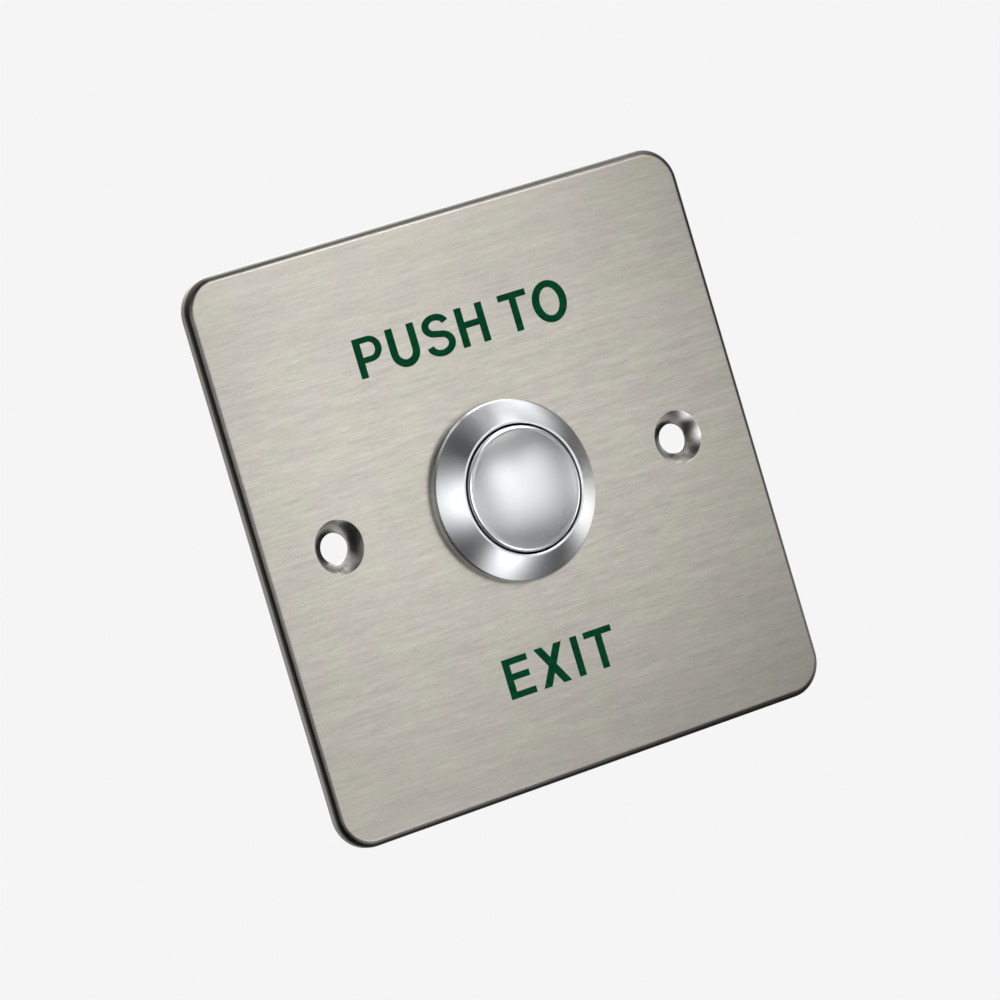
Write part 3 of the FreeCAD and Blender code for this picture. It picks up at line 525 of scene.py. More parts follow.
def word(name, rows, *letters):
    """One mesh of letters: each outline is a wall from the proud front to the groove's
    floor, and both are filled."""
    levels = (plate_front - LEGEND_PROUD, plate_front + LEGEND_DEPTH)
    grids = []
    for letter, left, right in letters:
        for outline in letter(left, right, *rows):
            x, z = np.array(outline, float).T
            grids.append(np.stack([np.stack([x, 0 * x + level, z], axis=-1) for level in levels]))
    return mesh_piece(name, *grids, flats=levels)


push_to = word("legend_push_to", LEGEND_TOP,
               (letter_p, -18.6, -14.0), (letter_u, -12.9, -7.94), (letter_s, -6.82, -1.86),
               (letter_h, -0.82, 4.03), (letter_t, 6.84, 11.74), (letter_o, 12.35, 18.3))
exit_word = word("legend_exit", LEGEND_BOTTOM,
                 (letter_e, -9.92, -5.41), (letter_x, -4.2, 0.75), (letter_i, 2.2, 3.4),
                 (letter_t, 4.56, 9.47))

ENAMEL_DARK = (0.0, 0.046, 0.017)
ENAMEL_LIGHT = (0.0, 0.078, 0.028)


def enamel(tree):
    """Slightly uneven filling, a little rougher where it is thin."""
    cloud = use(tree, even_grain, Scale=900)
    return {
        "Base Color": tinted(tree, spread(tree, cloud, 0, 1), ENAMEL_DARK, ENAMEL_LIGHT),
        "Roughness": spread(tree, cloud, 0.55, 0.7),
        "Height": (cloud, 0.1, 0.00002),
    }


enamel_finish = finish("green_enamel", enamel, Specular_IOR_Level=0.05)
for words in (push_to, exit_word):
    dress(words, "plate", "legend_ink", enamel_finish)

# Housing: one stainless turning. Its flange and conical bezel lie on the plate,
# and its threaded barrel goes through it. Inside are the cap's well, a web that
# guides the plunger and the bore for the switch insert.
CAP_BORE = 19.4
LIP = 20.2
FLANGE_BREAK = 0.25
BEZEL_RISE = 2.5
BARREL = 22.0
BARREL_BREAK = 0.5
GASKET_INNER = 23.0
GASKET_OUTER = 26.2
GASKET_DEPTH = 0.9
STEM_HOLE = 6.1
WELL_FLOOR = 3.4
WEB_BACK = 5.9
COVER_FRONT = 9.5
CLIP_CHAMBER = 17.2
INSERT_BORE = 19.0
HOUSING_BREAK = 0.07
WELL_ROUND = 0.15
THREAD_PITCH = 1.0
THREAD_DEPTH = 0.6
THREAD_RUN_OUT = 1.2
THREAD_STEPS = 8
THREAD_STEEPNESS = 1.25
THREAD_CREST = 0.12
housing_low, housing_high = box_mm("bezel_housing")
flange = housing_high[0]
lip_front = housing_low[1]
flange_front = lip_front + BEZEL_RISE
barrel_end = housing_high[1]
thread_end = barrel_end - BARREL_BREAK


def threaded(outer, depth, pitch, start, end, around, centre=(0.0, 0.0)):
    """A cylinder cut by a groove that moves one pitch along Y in one turn. The groove's
    depth follows a wave of that pitch with flat crests, and fades out at both ends."""
    rows = int((end - start) / pitch * THREAD_STEPS)
    along = np.linspace(start, end, rows)[:, None]
    turn = np.linspace(0, 2 * pi, around, endpoint=False)
    wave = np.abs(((along / pitch - turn / (2 * pi)) % 1) * 2 - 1)
    groove = np.clip(THREAD_STEEPNESS * (1 - wave) - THREAD_CREST, 0, 1)
    fade = np.clip((along - start) / (THREAD_RUN_OUT * pitch), 0, 1)
    fade = fade * np.clip((end - along) / (THREAD_RUN_OUT * pitch), 0, 1)
    radius = outer - depth * groove * fade
    x = centre[0] + radius * np.cos(turn)
    z = centre[1] + radius * np.sin(turn)
    return np.stack([x, along + 0 * turn, z], axis=-1)


housing_corners = [
    (BARREL / 2, plate_front),
    (GASKET_INNER / 2, plate_front),
    (GASKET_INNER / 2, plate_front - GASKET_DEPTH),
    (GASKET_OUTER / 2, plate_front - GASKET_DEPTH),
    (GASKET_OUTER / 2, plate_front),
    (flange, plate_front),
    (flange, flange_front + FLANGE_BREAK),
    (flange - FLANGE_BREAK, flange_front),
    (LIP / 2, lip_front),
    (CAP_BORE / 2, lip_front),
    (CAP_BORE / 2, WELL_FLOOR),
    (STEM_HOLE / 2, WELL_FLOOR),
    (STEM_HOLE / 2, WEB_BACK),
    (CLIP_CHAMBER / 2, WEB_BACK),
    (CLIP_CHAMBER / 2, COVER_FRONT),
    (INSERT_BORE / 2, COVER_FRONT),
    (INSERT_BORE / 2, barrel_end),
    (BARREL / 2 - BARREL_BREAK, barrel_end),
    (BARREL / 2, thread_end),
]
corner_round = np.full(len(housing_corners), HOUSING_BREAK)
corner_round[housing_corners.index((CAP_BORE / 2, lip_front))] = WELL_ROUND
housing_profile = softened(housing_corners, corner_round, closed=False)
barrel_thread = threaded(BARREL / 2, THREAD_DEPTH, THREAD_PITCH, plate_front, thread_end,
                         TURN_STEPS)
housing = mesh_piece("turned_housing", turned_grid(housing_profile), barrel_thread)

CONE_DARK = (0.735, 0.755, 0.775)
CONE_LIGHT = (0.755, 0.775, 0.795)
# Painted shade: the flange's side and the thread take a tone far darker than the turned steel.
PAINTED_FLANK_DARK = (0.15, 0.15, 0.149)
PAINTED_FLANK_LIGHT = (0.21, 0.21, 0.208)
FLANK_BLEND = 0.1
PAST_END = 1


def rings_group(group, entry):
    """Fine rings left by turning: noise of the distance from the axis and the place
    along it, with no change round it."""
    parts = node(group, "SeparateXYZ", {0: entry["Vector"]}).outputs
    x_squared = worked(group, "MULTIPLY", parts["X"], parts["X"])
    both_squared = worked(group, "MULTIPLY_ADD", parts["Z"], parts["Z"], x_squared)
    radius = worked(group, "SQRT", both_squared)
    place = node(group, "CombineXYZ", {"X": radius, "Y": parts["Y"]}).outputs[0]
    noise = node(group, "TexNoise", {"Vector": place, "Scale": entry["Scale"], "Detail": 2.0,
                                     "Roughness": 0.6}, noise_dimensions="2D")
    return noise.outputs["Fac"]


turned_rings = shader_group("turned_rings", {"Scale": 5000}, rings_group)


def turned_steel(tree):
    """Steel turned to a fine finish, with its rings in colour, gloss and height. The
    flange's side and the thread carry painted shade: a tone far darker than the cone's steel."""
    ring = use(tree, turned_rings, Scale=7000)
    tone = spread(tree, ring, 0, 1)
    bright = tinted(tree, tone, CONE_DARK, CONE_LIGHT)
    # Painted shade on the flange's side and the thread.
    dull = tinted(tree, tone, PAINTED_FLANK_DARK, PAINTED_FLANK_LIGHT)
    side = along_band(tree, flange_front + FLANGE_BREAK, barrel_end + PAST_END, FLANK_BLEND)
    return {
        "Base Color": mixed(tree, side, bright, dull),
        "Roughness": spread(tree, ring, 0.21, 0.19),
        "Tangent": node(tree, "Tangent", direction_type="RADIAL", axis="Y").outputs[0],
        "Height": (ring, 0.015, 0.00001),
    }


turned_finish = finish("turned_steel", turned_steel, Metallic=1.0, Anisotropic=0.85,
                       Anisotropic_Rotation=0.25)
dress(housing, "plate", "turned_bezel", turned_finish, "bezel_housing")

# Flange gasket: a flat ring punched from black rubber. It fills the groove under
# the flange and keeps water out of the wall box.
SEAL_ROOM = 0.05
GASKET_BREAK = 0.12
RUBBER_DARK = (0.012, 0.012, 0.013)
RUBBER_LIGHT = (0.032, 0.032, 0.034)


def turned_piece(name, section, radius, around=TURN_STEPS, centre=(0.0, 0.0), closed=True):
    """A turned piece with rounded corners. Its section is closed, or goes from the
    axis back to the axis."""
    return mesh_piece(name, turned_grid(softened(section, radius, closed), around, centre))


gasket = turned_piece("flange_seal", [
    (GASKET_INNER / 2 + SEAL_ROOM, plate_front - GASKET_DEPTH),
    (GASKET_OUTER / 2 - SEAL_ROOM, plate_front - GASKET_DEPTH),
    (GASKET_OUTER / 2 - SEAL_ROOM, plate_front),
    (GASKET_INNER / 2 + SEAL_ROOM, plate_front),
], GASKET_BREAK)


def rubber(tree):
    """Matt black rubber with the skin of its mould and a faint grey bloom."""
    bloom = use(tree, even_grain, Scale=350)
    skin = use(tree, even_grain, Scale=7000)
    return {
        "Base Color": tinted(tree, spread(tree, bloom, 0, 1), RUBBER_DARK, RUBBER_LIGHT),
        "Roughness": spread(tree, skin, 0.55, 0.78),
        "Height": (skin, 0.2, 0.00003),
    }


rubber_finish = finish("black_rubber", rubber)
dress(gasket, "plate", "seal_rubber", rubber_finish, "flange_gasket")

# Lock washer: a ring stamped from nickel-plated spring steel. The teeth between
# its notches bite into the back of the plate, so that the nut can't turn.
NOTCHES = 12
NOTCH_WIDTH = 2.2
NOTCH_FLOOR = 12.75
NOTCH_ROUND = 0.3
WASHER_BORE = 22.3
WASHER_BREAK = 0.1
BREAK_STEPS = 3
NICKEL_DARK = (0.50, 0.485, 0.45)
NICKEL_LIGHT = (0.68, 0.665, 0.625)
washer_low, washer_high = box_mm("lock_washer")


def circle(radius, around, centre=(0.0, 0.0)):
    """Points round a circle, anticlockwise."""
    return ellipse(centre, radius, radius, steps=around + 1)[:-1]


def drawn_in(outline, amount):
    """An outline moved to its left: each point goes along the sum of its two sides'
    normals, over one plus the cosine of the turn between them."""
    ahead = np.roll(outline, -1, axis=0) - outline
    ahead /= np.hypot(*ahead.T)[:, None]
    left = np.stack([-ahead[:, 1], ahead[:, 0]], axis=-1)
    before = np.roll(left, 1, axis=0)
    return outline + amount * (left + before) / (1 + (left * before).sum(axis=1))[:, None]


def stamped(name, outline, holes, front, back, edge):
    """A flat piece between two places along Y. The walls of its outline and of its
    holes end in small quarter circles, where they are drawn into the metal."""
    turn = np.linspace(0, pi / 2, BREAK_STEPS + 1)
    inset = edge * (1 - np.sin(turn))
    depth = front + edge * (1 - np.cos(turn))
    inset = np.concatenate([inset, inset[::-1]])
    depth = np.concatenate([depth, front + back - depth[::-1]])
    grids = []
    for points in [outline] + [hole[::-1] for hole in holes]:
        rows = [np.insert(drawn_in(points, share), 1, level, axis=1)
                for share, level in zip(inset, depth)]
        grids.append(np.stack(rows))
    return mesh_piece(name, *grids, flats=(front, back))


def repeated_round(stretch, count):
    """An outline made of one stretch, turned about the middle count times: a point
    (x, z) goes to (x cos - z sin, x sin + z cos) of each turn."""
    angle = np.arange(count)[:, None] * 2 * pi / count
    x = stretch[:, 0] * np.cos(angle) - stretch[:, 1] * np.sin(angle)
    z = stretch[:, 0] * np.sin(angle) + stretch[:, 1] * np.cos(angle)
    return np.stack([x.ravel(), z.ravel()], axis=-1)


def notched_bore():
    """The washer's bore: for each tooth a notch with a flat floor, and the arc from it
    to the next notch."""
    bore = WASHER_BORE / 2
    side = np.degrees(np.arcsin(NOTCH_WIDTH / 2 / bore))
    tooth = ellipse((0, 0), bore, bore, start=side, end=360 / NOTCHES - side, steps=9)
    notch = np.array([(NOTCH_FLOOR, -NOTCH_WIDTH / 2), (NOTCH_FLOOR, NOTCH_WIDTH / 2)])
    return softened(repeated_round(np.concatenate([notch, tooth]), NOTCHES), NOTCH_ROUND)[:-1]


washer = stamped("notched_washer", circle(washer_high[0], TURN_STEPS), [notched_bore()],
                 washer_low[1], washer_high[1], WASHER_BREAK)


def nickel(tree):
    """Bright plating over rolled steel, with faint clouds and a fine grain."""
    cloud = use(tree, even_grain, Scale=260)
    grain = use(tree, even_grain, Scale=5200)
    both = worked(tree, "MULTIPLY_ADD", cloud, 0.7, grain)
    tone = spread(tree, both, 0, 1, start=0.6, end=1.1)
    return {
        "Base Color": tinted(tree, tone, NICKEL_DARK, NICKEL_LIGHT),
        "Roughness": spread(tree, both, 0.34, 0.2, start=0.6, end=1.1),
        "Height": (grain, 0.12, 0.00002),
    }


nickel_finish = finish("bright_nickel", nickel, Metallic=1.0)
dress(washer, "plate", "nickel_plate", nickel_finish, "lock_washer")

# Lock nut: a thin nut cut from hexagon bar. Both faces are chamfered to a cone,
# which leaves the curved line where it meets each flat.
NUT_FLATS = 26.0
NUT_BORE = 22.1
NUT_BREAK = 0.4
NUT_FACE_INSET = 0.4
NUT_CORNER = radians(29.3)
CONE_SLOPE = tan(radians(30))
CONE_STEPS = 6
NUT_AROUND = 288
nut_low, nut_high = box_mm("lock_nut")


def hexagon_nut():
    """Rings at a share of the way from the face to the flats. The flats lie at half
    their distance over the cosine of the turn from their middle, and the cone rises
    by its slope as the radius grows past the round face."""
    turn = np.linspace(0, 2 * pi, NUT_AROUND, endpoint=False)
    from_flat = np.clip((turn % (pi / 3)) - pi / 6, -NUT_CORNER, NUT_CORNER)
    flats = NUT_FLATS / 2 / np.cos(from_flat)
    face = NUT_FLATS / 2 - NUT_FACE_INSET
    share = np.linspace(0, 1, CONE_STEPS)[:, None]
    radius = face + share * (flats - face)
    rise = (radius - face) * CONE_SLOPE
    bore = NUT_BORE / 2 + 0 * flats
    front, back = nut_low[1], nut_high[1]
    radii = [bore, bore + NUT_BREAK, *radius, *radius[::-1], bore + NUT_BREAK, bore, bore]
    places = [front + NUT_BREAK, front, *(front + rise), *(back - rise[::-1]), back, back - NUT_BREAK,
              front + NUT_BREAK]
    along = np.stack([place + 0 * turn for place in places])
    radii = np.stack(radii)
    return np.stack([radii * np.cos(turn), along, radii * np.sin(turn)], axis=-1)


nut = mesh_piece("hexagon_nut", hexagon_nut(), sharp=20)
dress(nut, "plate", "nickel_plate", nickel_finish, "lock_nut")

# Push cap: a turned steel cup, bead blasted on its shallow dome, with a rounded
# rim. It slides in the well with a rubber ring in the groove of its skirt.
CAP = 18.8
CAP_SHOULDER = 0.6
SHOULDER_START = radians(10)
SHOULDER_STEPS = 9
DOME_RISE = 1.05
DOME_STEPS = 28
CAP_TOP = 1.2
SKIRT_WALL = 1.7
SKIRT_BREAK = 0.1
SEAL_RADIUS = 9.1
SEAL_SECTION = 1.0
SEAL_MIDDLE = -1.0
GROOVE_ROOM = 0.05
SATIN_DARK = (0.79, 0.805, 0.82)
SATIN_LIGHT = (0.89, 0.90, 0.91)
cap_low, cap_high = box_mm("push_cap")
cap_apex = cap_low[1]
cap_shoulder = cap_apex + DOME_RISE
skirt_end = cap_high[1]
cap_floor = cap_shoulder + CAP_TOP
groove_half = SEAL_SECTION / 2 + GROOVE_ROOM
groove_floor = SEAL_RADIUS - groove_half


def dome():
    """The dome's profile, an arc through its middle and its rim: a sphere's radius is
    (rim squared + rise squared) over twice the rise."""
    rim = CAP / 2 - CAP_SHOULDER
    sphere = (rim ** 2 + DOME_RISE ** 2) / (2 * DOME_RISE)
    radius = np.linspace(0, rim, DOME_STEPS)
    return np.stack([radius, cap_apex + sphere - np.sqrt(sphere ** 2 - radius ** 2)], axis=-1)


def shoulder():
    """The rounded edge from the dome to the skirt: the part of a quarter circle past
    SHOULDER_START. A short flat joins it to the dome's rim."""
    turn = np.linspace(SHOULDER_START, pi / 2, SHOULDER_STEPS)
    return np.stack([CAP / 2 - CAP_SHOULDER * (1 - np.sin(turn)),
                     cap_shoulder + CAP_SHOULDER * (1 - np.cos(turn))], axis=-1)


skirt = softened([
    (CAP / 2, cap_shoulder + CAP_SHOULDER),
    (CAP / 2, SEAL_MIDDLE - groove_half),
    (groove_floor, SEAL_MIDDLE - groove_half),
    (groove_floor, SEAL_MIDDLE + groove_half),
    (CAP / 2, SEAL_MIDDLE + groove_half),
    (CAP / 2, skirt_end),
    (CAP / 2 - SKIRT_WALL, skirt_end),
    (CAP / 2 - SKIRT_WALL, cap_floor),
    (0, cap_floor),
], SKIRT_BREAK, closed=False)
cap_profile = np.concatenate([dome(), shoulder()[:-1], skirt])
cap = mesh_piece("domed_cap", turned_grid(cap_profile), sharp=30)


def satin_steel(tree):
    """A fine blasted grain in height and gloss."""
    grain = use(tree, even_grain, Scale=9000)
    return {
        "Base Color": tinted(tree, spread(tree, grain, 0, 1), SATIN_DARK, SATIN_LIGHT),
        "Roughness": spread(tree, grain, 0.28, 0.23),
        "Height": (grain, 0.12, 0.00002),
    }


dress(cap, "button", "satin_cap", finish("satin_steel", satin_steel, Metallic=1.0), "push_cap")

# Cap seal: a rubber ring of round section in the skirt's groove, which keeps
# water out of the well.
seal_section = ellipse((SEAL_RADIUS, SEAL_MIDDLE), SEAL_SECTION / 2, SEAL_SECTION / 2, steps=33)
cap_seal = mesh_piece("sealing_ring", turned_grid(seal_section))
dress(cap_seal, "button", "seal_rubber", rubber_finish, "cap_seal")

# Plunger: one turning of white acetal. Its head fills the cap, its stem runs in
# the web, and its pin carries the contact bridge.
HEAD_ROOM = 0.05
PLUNGER_STEM = 6.0
PLUNGER_NECK = 3.8
PLUNGER_PIN = 2.4
CLIP_GROOVE = 4.8
GROOVE_SIDE_ROOM = 0.05
CLIP_LAND = 1.2
PLUNGER_BREAK = 0.15
ACETAL_DARK = (0.74, 0.73, 0.69)
ACETAL_LIGHT = (0.80, 0.79, 0.76)
plunger_low, plunger_high = box_mm("plunger")
disc_back = box_mm("return_spring")[0][1]
clip_low, clip_high = box_mm("plunger_clip")
bridge_low, bridge_high = box_mm("contact_bridge")
stem_end = clip_high[1] + CLIP_LAND
plunger = turned_piece("acetal_plunger", [
    (0, plunger_low[1]),
    (CAP / 2 - SKIRT_WALL - HEAD_ROOM, plunger_low[1]),
    (CAP / 2 - SKIRT_WALL - HEAD_ROOM, disc_back),
    (PLUNGER_STEM / 2, disc_back),
    (PLUNGER_STEM / 2, clip_low[1] - GROOVE_SIDE_ROOM),
    (CLIP_GROOVE / 2, clip_low[1] - GROOVE_SIDE_ROOM),
    (CLIP_GROOVE / 2, clip_high[1] + GROOVE_SIDE_ROOM),
    (PLUNGER_STEM / 2, clip_high[1] + GROOVE_SIDE_ROOM),
    (PLUNGER_STEM / 2, stem_end),
    (PLUNGER_NECK / 2, stem_end),
    (PLUNGER_NECK / 2, bridge_low[1]),
    (PLUNGER_PIN / 2, bridge_low[1]),
    (PLUNGER_PIN / 2, plunger_high[1]),
    (0, plunger_high[1]),
], PLUNGER_BREAK, SMALL_TURN, closed=False)


def acetal(tree):
    """Slightly warm white plastic with the rings of the lathe."""
    ring = use(tree, turned_rings, Scale=4200)
    cloud = use(tree, even_grain, Scale=300)
    return {
        "Base Color": tinted(tree, spread(tree, cloud, 0, 1), ACETAL_DARK, ACETAL_LIGHT),
        "Roughness": spread(tree, ring, 0.34, 0.46),
        "Height": (ring, 0.15, 0.00003),
    }


dress(plunger, "button", "white_acetal", finish("turned_acetal", acetal), "plunger")

# Plunger clip: an open ring punched from spring steel. It snaps into the stem's
# groove and stops the button against the back of the web.
CLIP_MOUTH = 3.6
CLIP_BREAK = 0.08
CLIP_ROUND = 0.3
CLIP_ROOM = 0.05
TEMPERED_DARK = (0.30, 0.295, 0.29)
TEMPERED_LIGHT = (0.46, 0.455, 0.45)


def open_ring():
    """An outer arc and an inner arc, both from one side of the mouth to the other,
    with the mouth downwards and its corners rounded."""
    outer = clip_high[0]
    inner = CLIP_GROOVE / 2 + CLIP_ROOM
    wide = np.degrees(np.arcsin(CLIP_MOUTH / 2 / outer))
    narrow = np.degrees(np.arcsin(CLIP_MOUTH / 2 / inner))
    outer_arc = ellipse((0, 0), outer, outer, start=-90 + wide, end=270 - wide, steps=65)
    inner_arc = ellipse((0, 0), inner, inner, start=270 - narrow, end=-90 + narrow, steps=49)
    return softened(np.concatenate([outer_arc, inner_arc]), CLIP_ROUND)[:-1]


clip = stamped("retaining_ring", open_ring(), [], clip_low[1], clip_high[1], CLIP_BREAK)


def spring_steel(tree):
    """Oil-tempered steel, dark and even, with drawing marks."""
    grain = use(tree, even_grain, Scale=3800)
    cloud = use(tree, even_grain, Scale=400)
    return {
        "Base Color": tinted(tree, spread(tree, cloud, 0, 1), TEMPERED_DARK, TEMPERED_LIGHT),
        "Roughness": spread(tree, grain, 0.26, 0.4),
        "Height": (grain, 0.15, 0.00002),
    }


spring_finish = finish("tempered_spring_steel", spring_steel, Metallic=1.0)
dress(clip, "button", "spring_wire", spring_finish, "plunger_clip")

# Springs: the return spring stands round the stem between the plunger's head and
# the web. The contact spring presses the bridge on the plunger. Both are coiled
# wire. In the button both shorten by its travel; these meshes keep their rest length.
RETURN_MEAN = 9.0
RETURN_WIRE = 0.8
RETURN_TURNS = 4
CONTACT_MEAN = 3.5
CONTACT_WIRE = 0.4
CONTACT_TURNS = 6
WIRE_AROUND = 16
WIRE_END_STEPS = 5
COIL_STEPS = 48


def coiled_wire(mean, wire, turns, front, back):
    """A wire along a helix that starts and ends half a wire inside its two seats. The
    wire's circle lies across the helix, and shrinks over a half sphere at both ends."""
    lead = (back - front - wire) / (2 * pi * turns)
    pace = sqrt((mean / 2) ** 2 + lead ** 2)
    length = 2 * pi * turns * pace
    close = np.linspace(0, pi / 2, WIRE_END_STEPS)
    tip = wire / 2 * (1 - np.cos(close))
    middle = np.linspace(wire / 2, length - wire / 2, turns * COIL_STEPS)[1:-1]
    place = np.concatenate([tip, middle, length - tip[::-1]])
    size = np.concatenate([np.sin(close), 1 + 0 * middle, np.sin(close[::-1])]) * wire / 2
    turn = place / pace
    outward = np.stack([np.cos(turn), 0 * turn, -np.sin(turn)], axis=-1)
    ahead = np.stack([-np.sin(turn) * mean / 2, lead + 0 * turn, -np.cos(turn) * mean / 2], axis=-1)
    ahead /= pace
    upward = np.cross(outward, ahead)
    line = outward * mean / 2
    line[:, 1] = front + wire / 2 + lead * turn
    around = np.linspace(0, 2 * pi, WIRE_AROUND, endpoint=False)[:, None]
    section = np.cos(around) * outward[:, None] + np.sin(around) * upward[:, None]
    return line[:, None] + size[:, None, None] * section


spring_sizes = {
    "return_spring": (RETURN_MEAN, RETURN_WIRE, RETURN_TURNS),
    "contact_spring": (CONTACT_MEAN, CONTACT_WIRE, CONTACT_TURNS),
}
for solid, (mean, wire, turns) in spring_sizes.items():
    front, back = [corner[1] for corner in box_mm(solid)]
    spring = mesh_piece("coiled_" + solid, coiled_wire(mean, wire, turns, front, back), sharp=60)
    dress(spring, "plate", "spring_wire", spring_finish, solid)
    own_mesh(spring)

# Contact cover and switch base: two mouldings of glass-filled black plastic. The
# cover closes the contact chamber, and the base holds the terminals in its bays.
COVER_HOLE = 6.6
COVER_BREAK = 0.15
BASE_BREAK = 0.14
SOLID_MERGE = 1e-6
FLAT_TURN = radians(0.5)
SMOOTH_TURN = radians(25)
EASED_TURN = radians(40)
MOULDING_DARK = (0.011, 0.011, 0.012)
MOULDING_LIGHT = (0.028, 0.028, 0.03)
cover_low, cover_high = box_mm("contact_cover")
cover = turned_piece("chamber_cover", [
    (COVER_HOLE / 2, cover_low[1]),
    (cover_high[0], cover_low[1]),
    (cover_high[0], cover_high[1]),
    (COVER_HOLE / 2, cover_high[1]),
], COVER_BREAK)


def eased_copy(name, solid, width):
    """A merged copy of a solid, its flat faces made whole and its edges rounded to a
    width."""
    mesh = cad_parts[solid].data.copy()
    mesh.name = name
    shape = bmesh.new()
    shape.from_mesh(mesh)
    bmesh.ops.remove_doubles(shape, verts=shape.verts, dist=SOLID_MERGE)
    bmesh.ops.dissolve_limit(shape, angle_limit=FLAT_TURN, verts=shape.verts, edges=shape.edges)
    shape.to_mesh(mesh)
    shape.free()
    mesh.shade_smooth()
    mesh.set_sharp_from_angle(angle=SMOOTH_TURN)
    piece = placed(name, mesh)
    ease = piece.modifiers.new("eased_edges", "BEVEL")
    ease.width = width * MM
    ease.segments = 2
    ease.limit_method = "ANGLE"
    ease.angle_limit = EASED_TURN
    ease.harden_normals = True
    return piece


base = eased_copy("terminal_base", "switch_base", BASE_BREAK)


def moulding(tree):
    """Black plastic, a little greyer where the glass lies near its skin."""
    flow = use(tree, brush_lines, Along=160, Across=420)
    grain = use(tree, even_grain, Scale=4500)
    return {
        "Base Color": tinted(tree, spread(tree, flow, 0, 1), MOULDING_DARK, MOULDING_LIGHT),
        "Roughness": spread(tree, grain, 0.36, 0.54),
        "Height": (grain, 0.25, 0.00004),
    }


moulding_finish = finish("glass_filled_black", moulding)
dress(cover, "plate", "black_moulding", moulding_finish, "contact_cover")
dress(base, "plate", "black_moulding", moulding_finish, "switch_base")

# Terminals and contact bridge: strips stamped from brass, bent in a die. The
# bridge is a straight one with a round middle that sits on the plunger's pin.
STRIP_BREAK = 0.09
BRIDGE_END_ROUND = 0.5
BRIDGE_INSET = 0.1
BRIDGE_MIDDLE = 4.4
BRIDGE_WAIST_ROUND = 0.05
PIN_HOLE = 2.5
RIVET_HOLE = 1.5
BRASS_DARK = (0.53, 0.34, 0.12)
BRASS_LIGHT = (0.78, 0.57, 0.26)
TERMINALS = ("closed", "open", "common")
closed_place = np.array(box_mm("closed_contact")).mean(axis=0)[0]
strips = [eased_copy("brass_" + side, side + "_terminal", STRIP_BREAK) for side in TERMINALS]


def bridge_outline():
    """A bar with rounded ends, and an arc on each side of its middle."""
    half_long = bridge_high[0]
    half_wide = box_mm("closed_terminal")[1][2] - BRIDGE_INSET
    middle = BRIDGE_MIDDLE / 2
    join = np.degrees(np.arcsin(half_wide / middle))
    below = ellipse((0, 0), middle, middle, start=180 + join, end=360 - join, steps=13)
    above = ellipse((0, 0), middle, middle, start=join, end=180 - join, steps=13)
    corners = [(-half_long, half_wide), (-half_long, -half_wide), *below,
               (half_long, -half_wide), (half_long, half_wide), *above]
    at_end = np.abs(np.array(corners)[:, 0]) > middle
    radius = np.where(at_end, BRIDGE_END_ROUND, BRIDGE_WAIST_ROUND)
    return softened(corners, radius)[:-1]


bridge_holes = [circle(PIN_HOLE / 2, around=48)]
for side in (-1, 1):
    bridge_holes.append(circle(RIVET_HOLE / 2, around=36, centre=(side * closed_place, 0)))
bridge = stamped("moving_strip", bridge_outline(), bridge_holes, bridge_low[1], bridge_high[1],
                 STRIP_BREAK)


def brass(tree):
    """Rolled brass: faint lines along the strip, over patches of tarnish."""
    rolled = use(tree, brush_lines, Along=260, Across=3600)
    tarnish = use(tree, even_grain, Scale=240)
    both = worked(tree, "MULTIPLY_ADD", tarnish, 0.8, rolled)
    tone = spread(tree, both, 0, 1, start=0.6, end=1.2)
    return {
        "Base Color": tinted(tree, tone, BRASS_DARK, BRASS_LIGHT),
        "Roughness": spread(tree, both, 0.42, 0.26, start=0.6, end=1.2),
        "Height": (rolled, 0.1, 0.00002),
    }


brass_finish = finish("rolled_brass", brass, Metallic=1.0)
for strip, side in zip(strips, TERMINALS):
    dress(strip, "plate", "terminal_brass", brass_finish, side + "_terminal")
dress(bridge, "button", "terminal_brass", brass_finish, "contact_bridge")

# Contacts: four rivets of silver alloy, a flat head on one side of a strip and a
# shank through it. Two are fixed, and two move with the bridge.
CONTACT_HEAD = 2.4
CONTACT_SHANK = 1.4
CONTACT_HEIGHT = 0.4
CONTACT_BREAK = 0.12
SILVER_DARK = (0.72, 0.71, 0.68)
SILVER_LIGHT = (0.88, 0.875, 0.86)
contact_places = {
    "closed_contact": (closed_place, "plate", 1),
    "open_contact": (-closed_place, "plate", 0),
    "bridge_contact_closed": (closed_place, "button", 0),
    "bridge_contact_open": (-closed_place, "button", 1),
}


def silver(tree):
    """Pressed silver alloy, slightly dulled in patches."""
    dull = use(tree, even_grain, Scale=1600)
    return {
        "Base Color": tinted(tree, spread(tree, dull, 0, 1), SILVER_DARK, SILVER_LIGHT),
        "Roughness": spread(tree, dull, 0.38, 0.22),
        "Height": (dull, 0.1, 0.00002),
    }


silver_finish = finish("contact_silver_alloy", silver, Metallic=1.0)
for solid, (across, body, head_end) in contact_places.items():
    ends = [corner[1] for corner in box_mm(solid)]
    head_face = ends[head_end]
    shank_end = ends[1 - head_end]
    head_seat = head_face + CONTACT_HEIGHT * (1 - 2 * head_end)
    rivet = turned_piece("rivet_" + solid, [
        (0, head_face),
        (CONTACT_HEAD / 2, head_face),
        (CONTACT_HEAD / 2, head_seat),
        (CONTACT_SHANK / 2, head_seat),
        (CONTACT_SHANK / 2, shank_end),
        (0, shank_end),
    ], CONTACT_BREAK, around=48, centre=(across, 0), closed=False)
    dress(rivet, body, "contact_silver", silver_finish, solid)

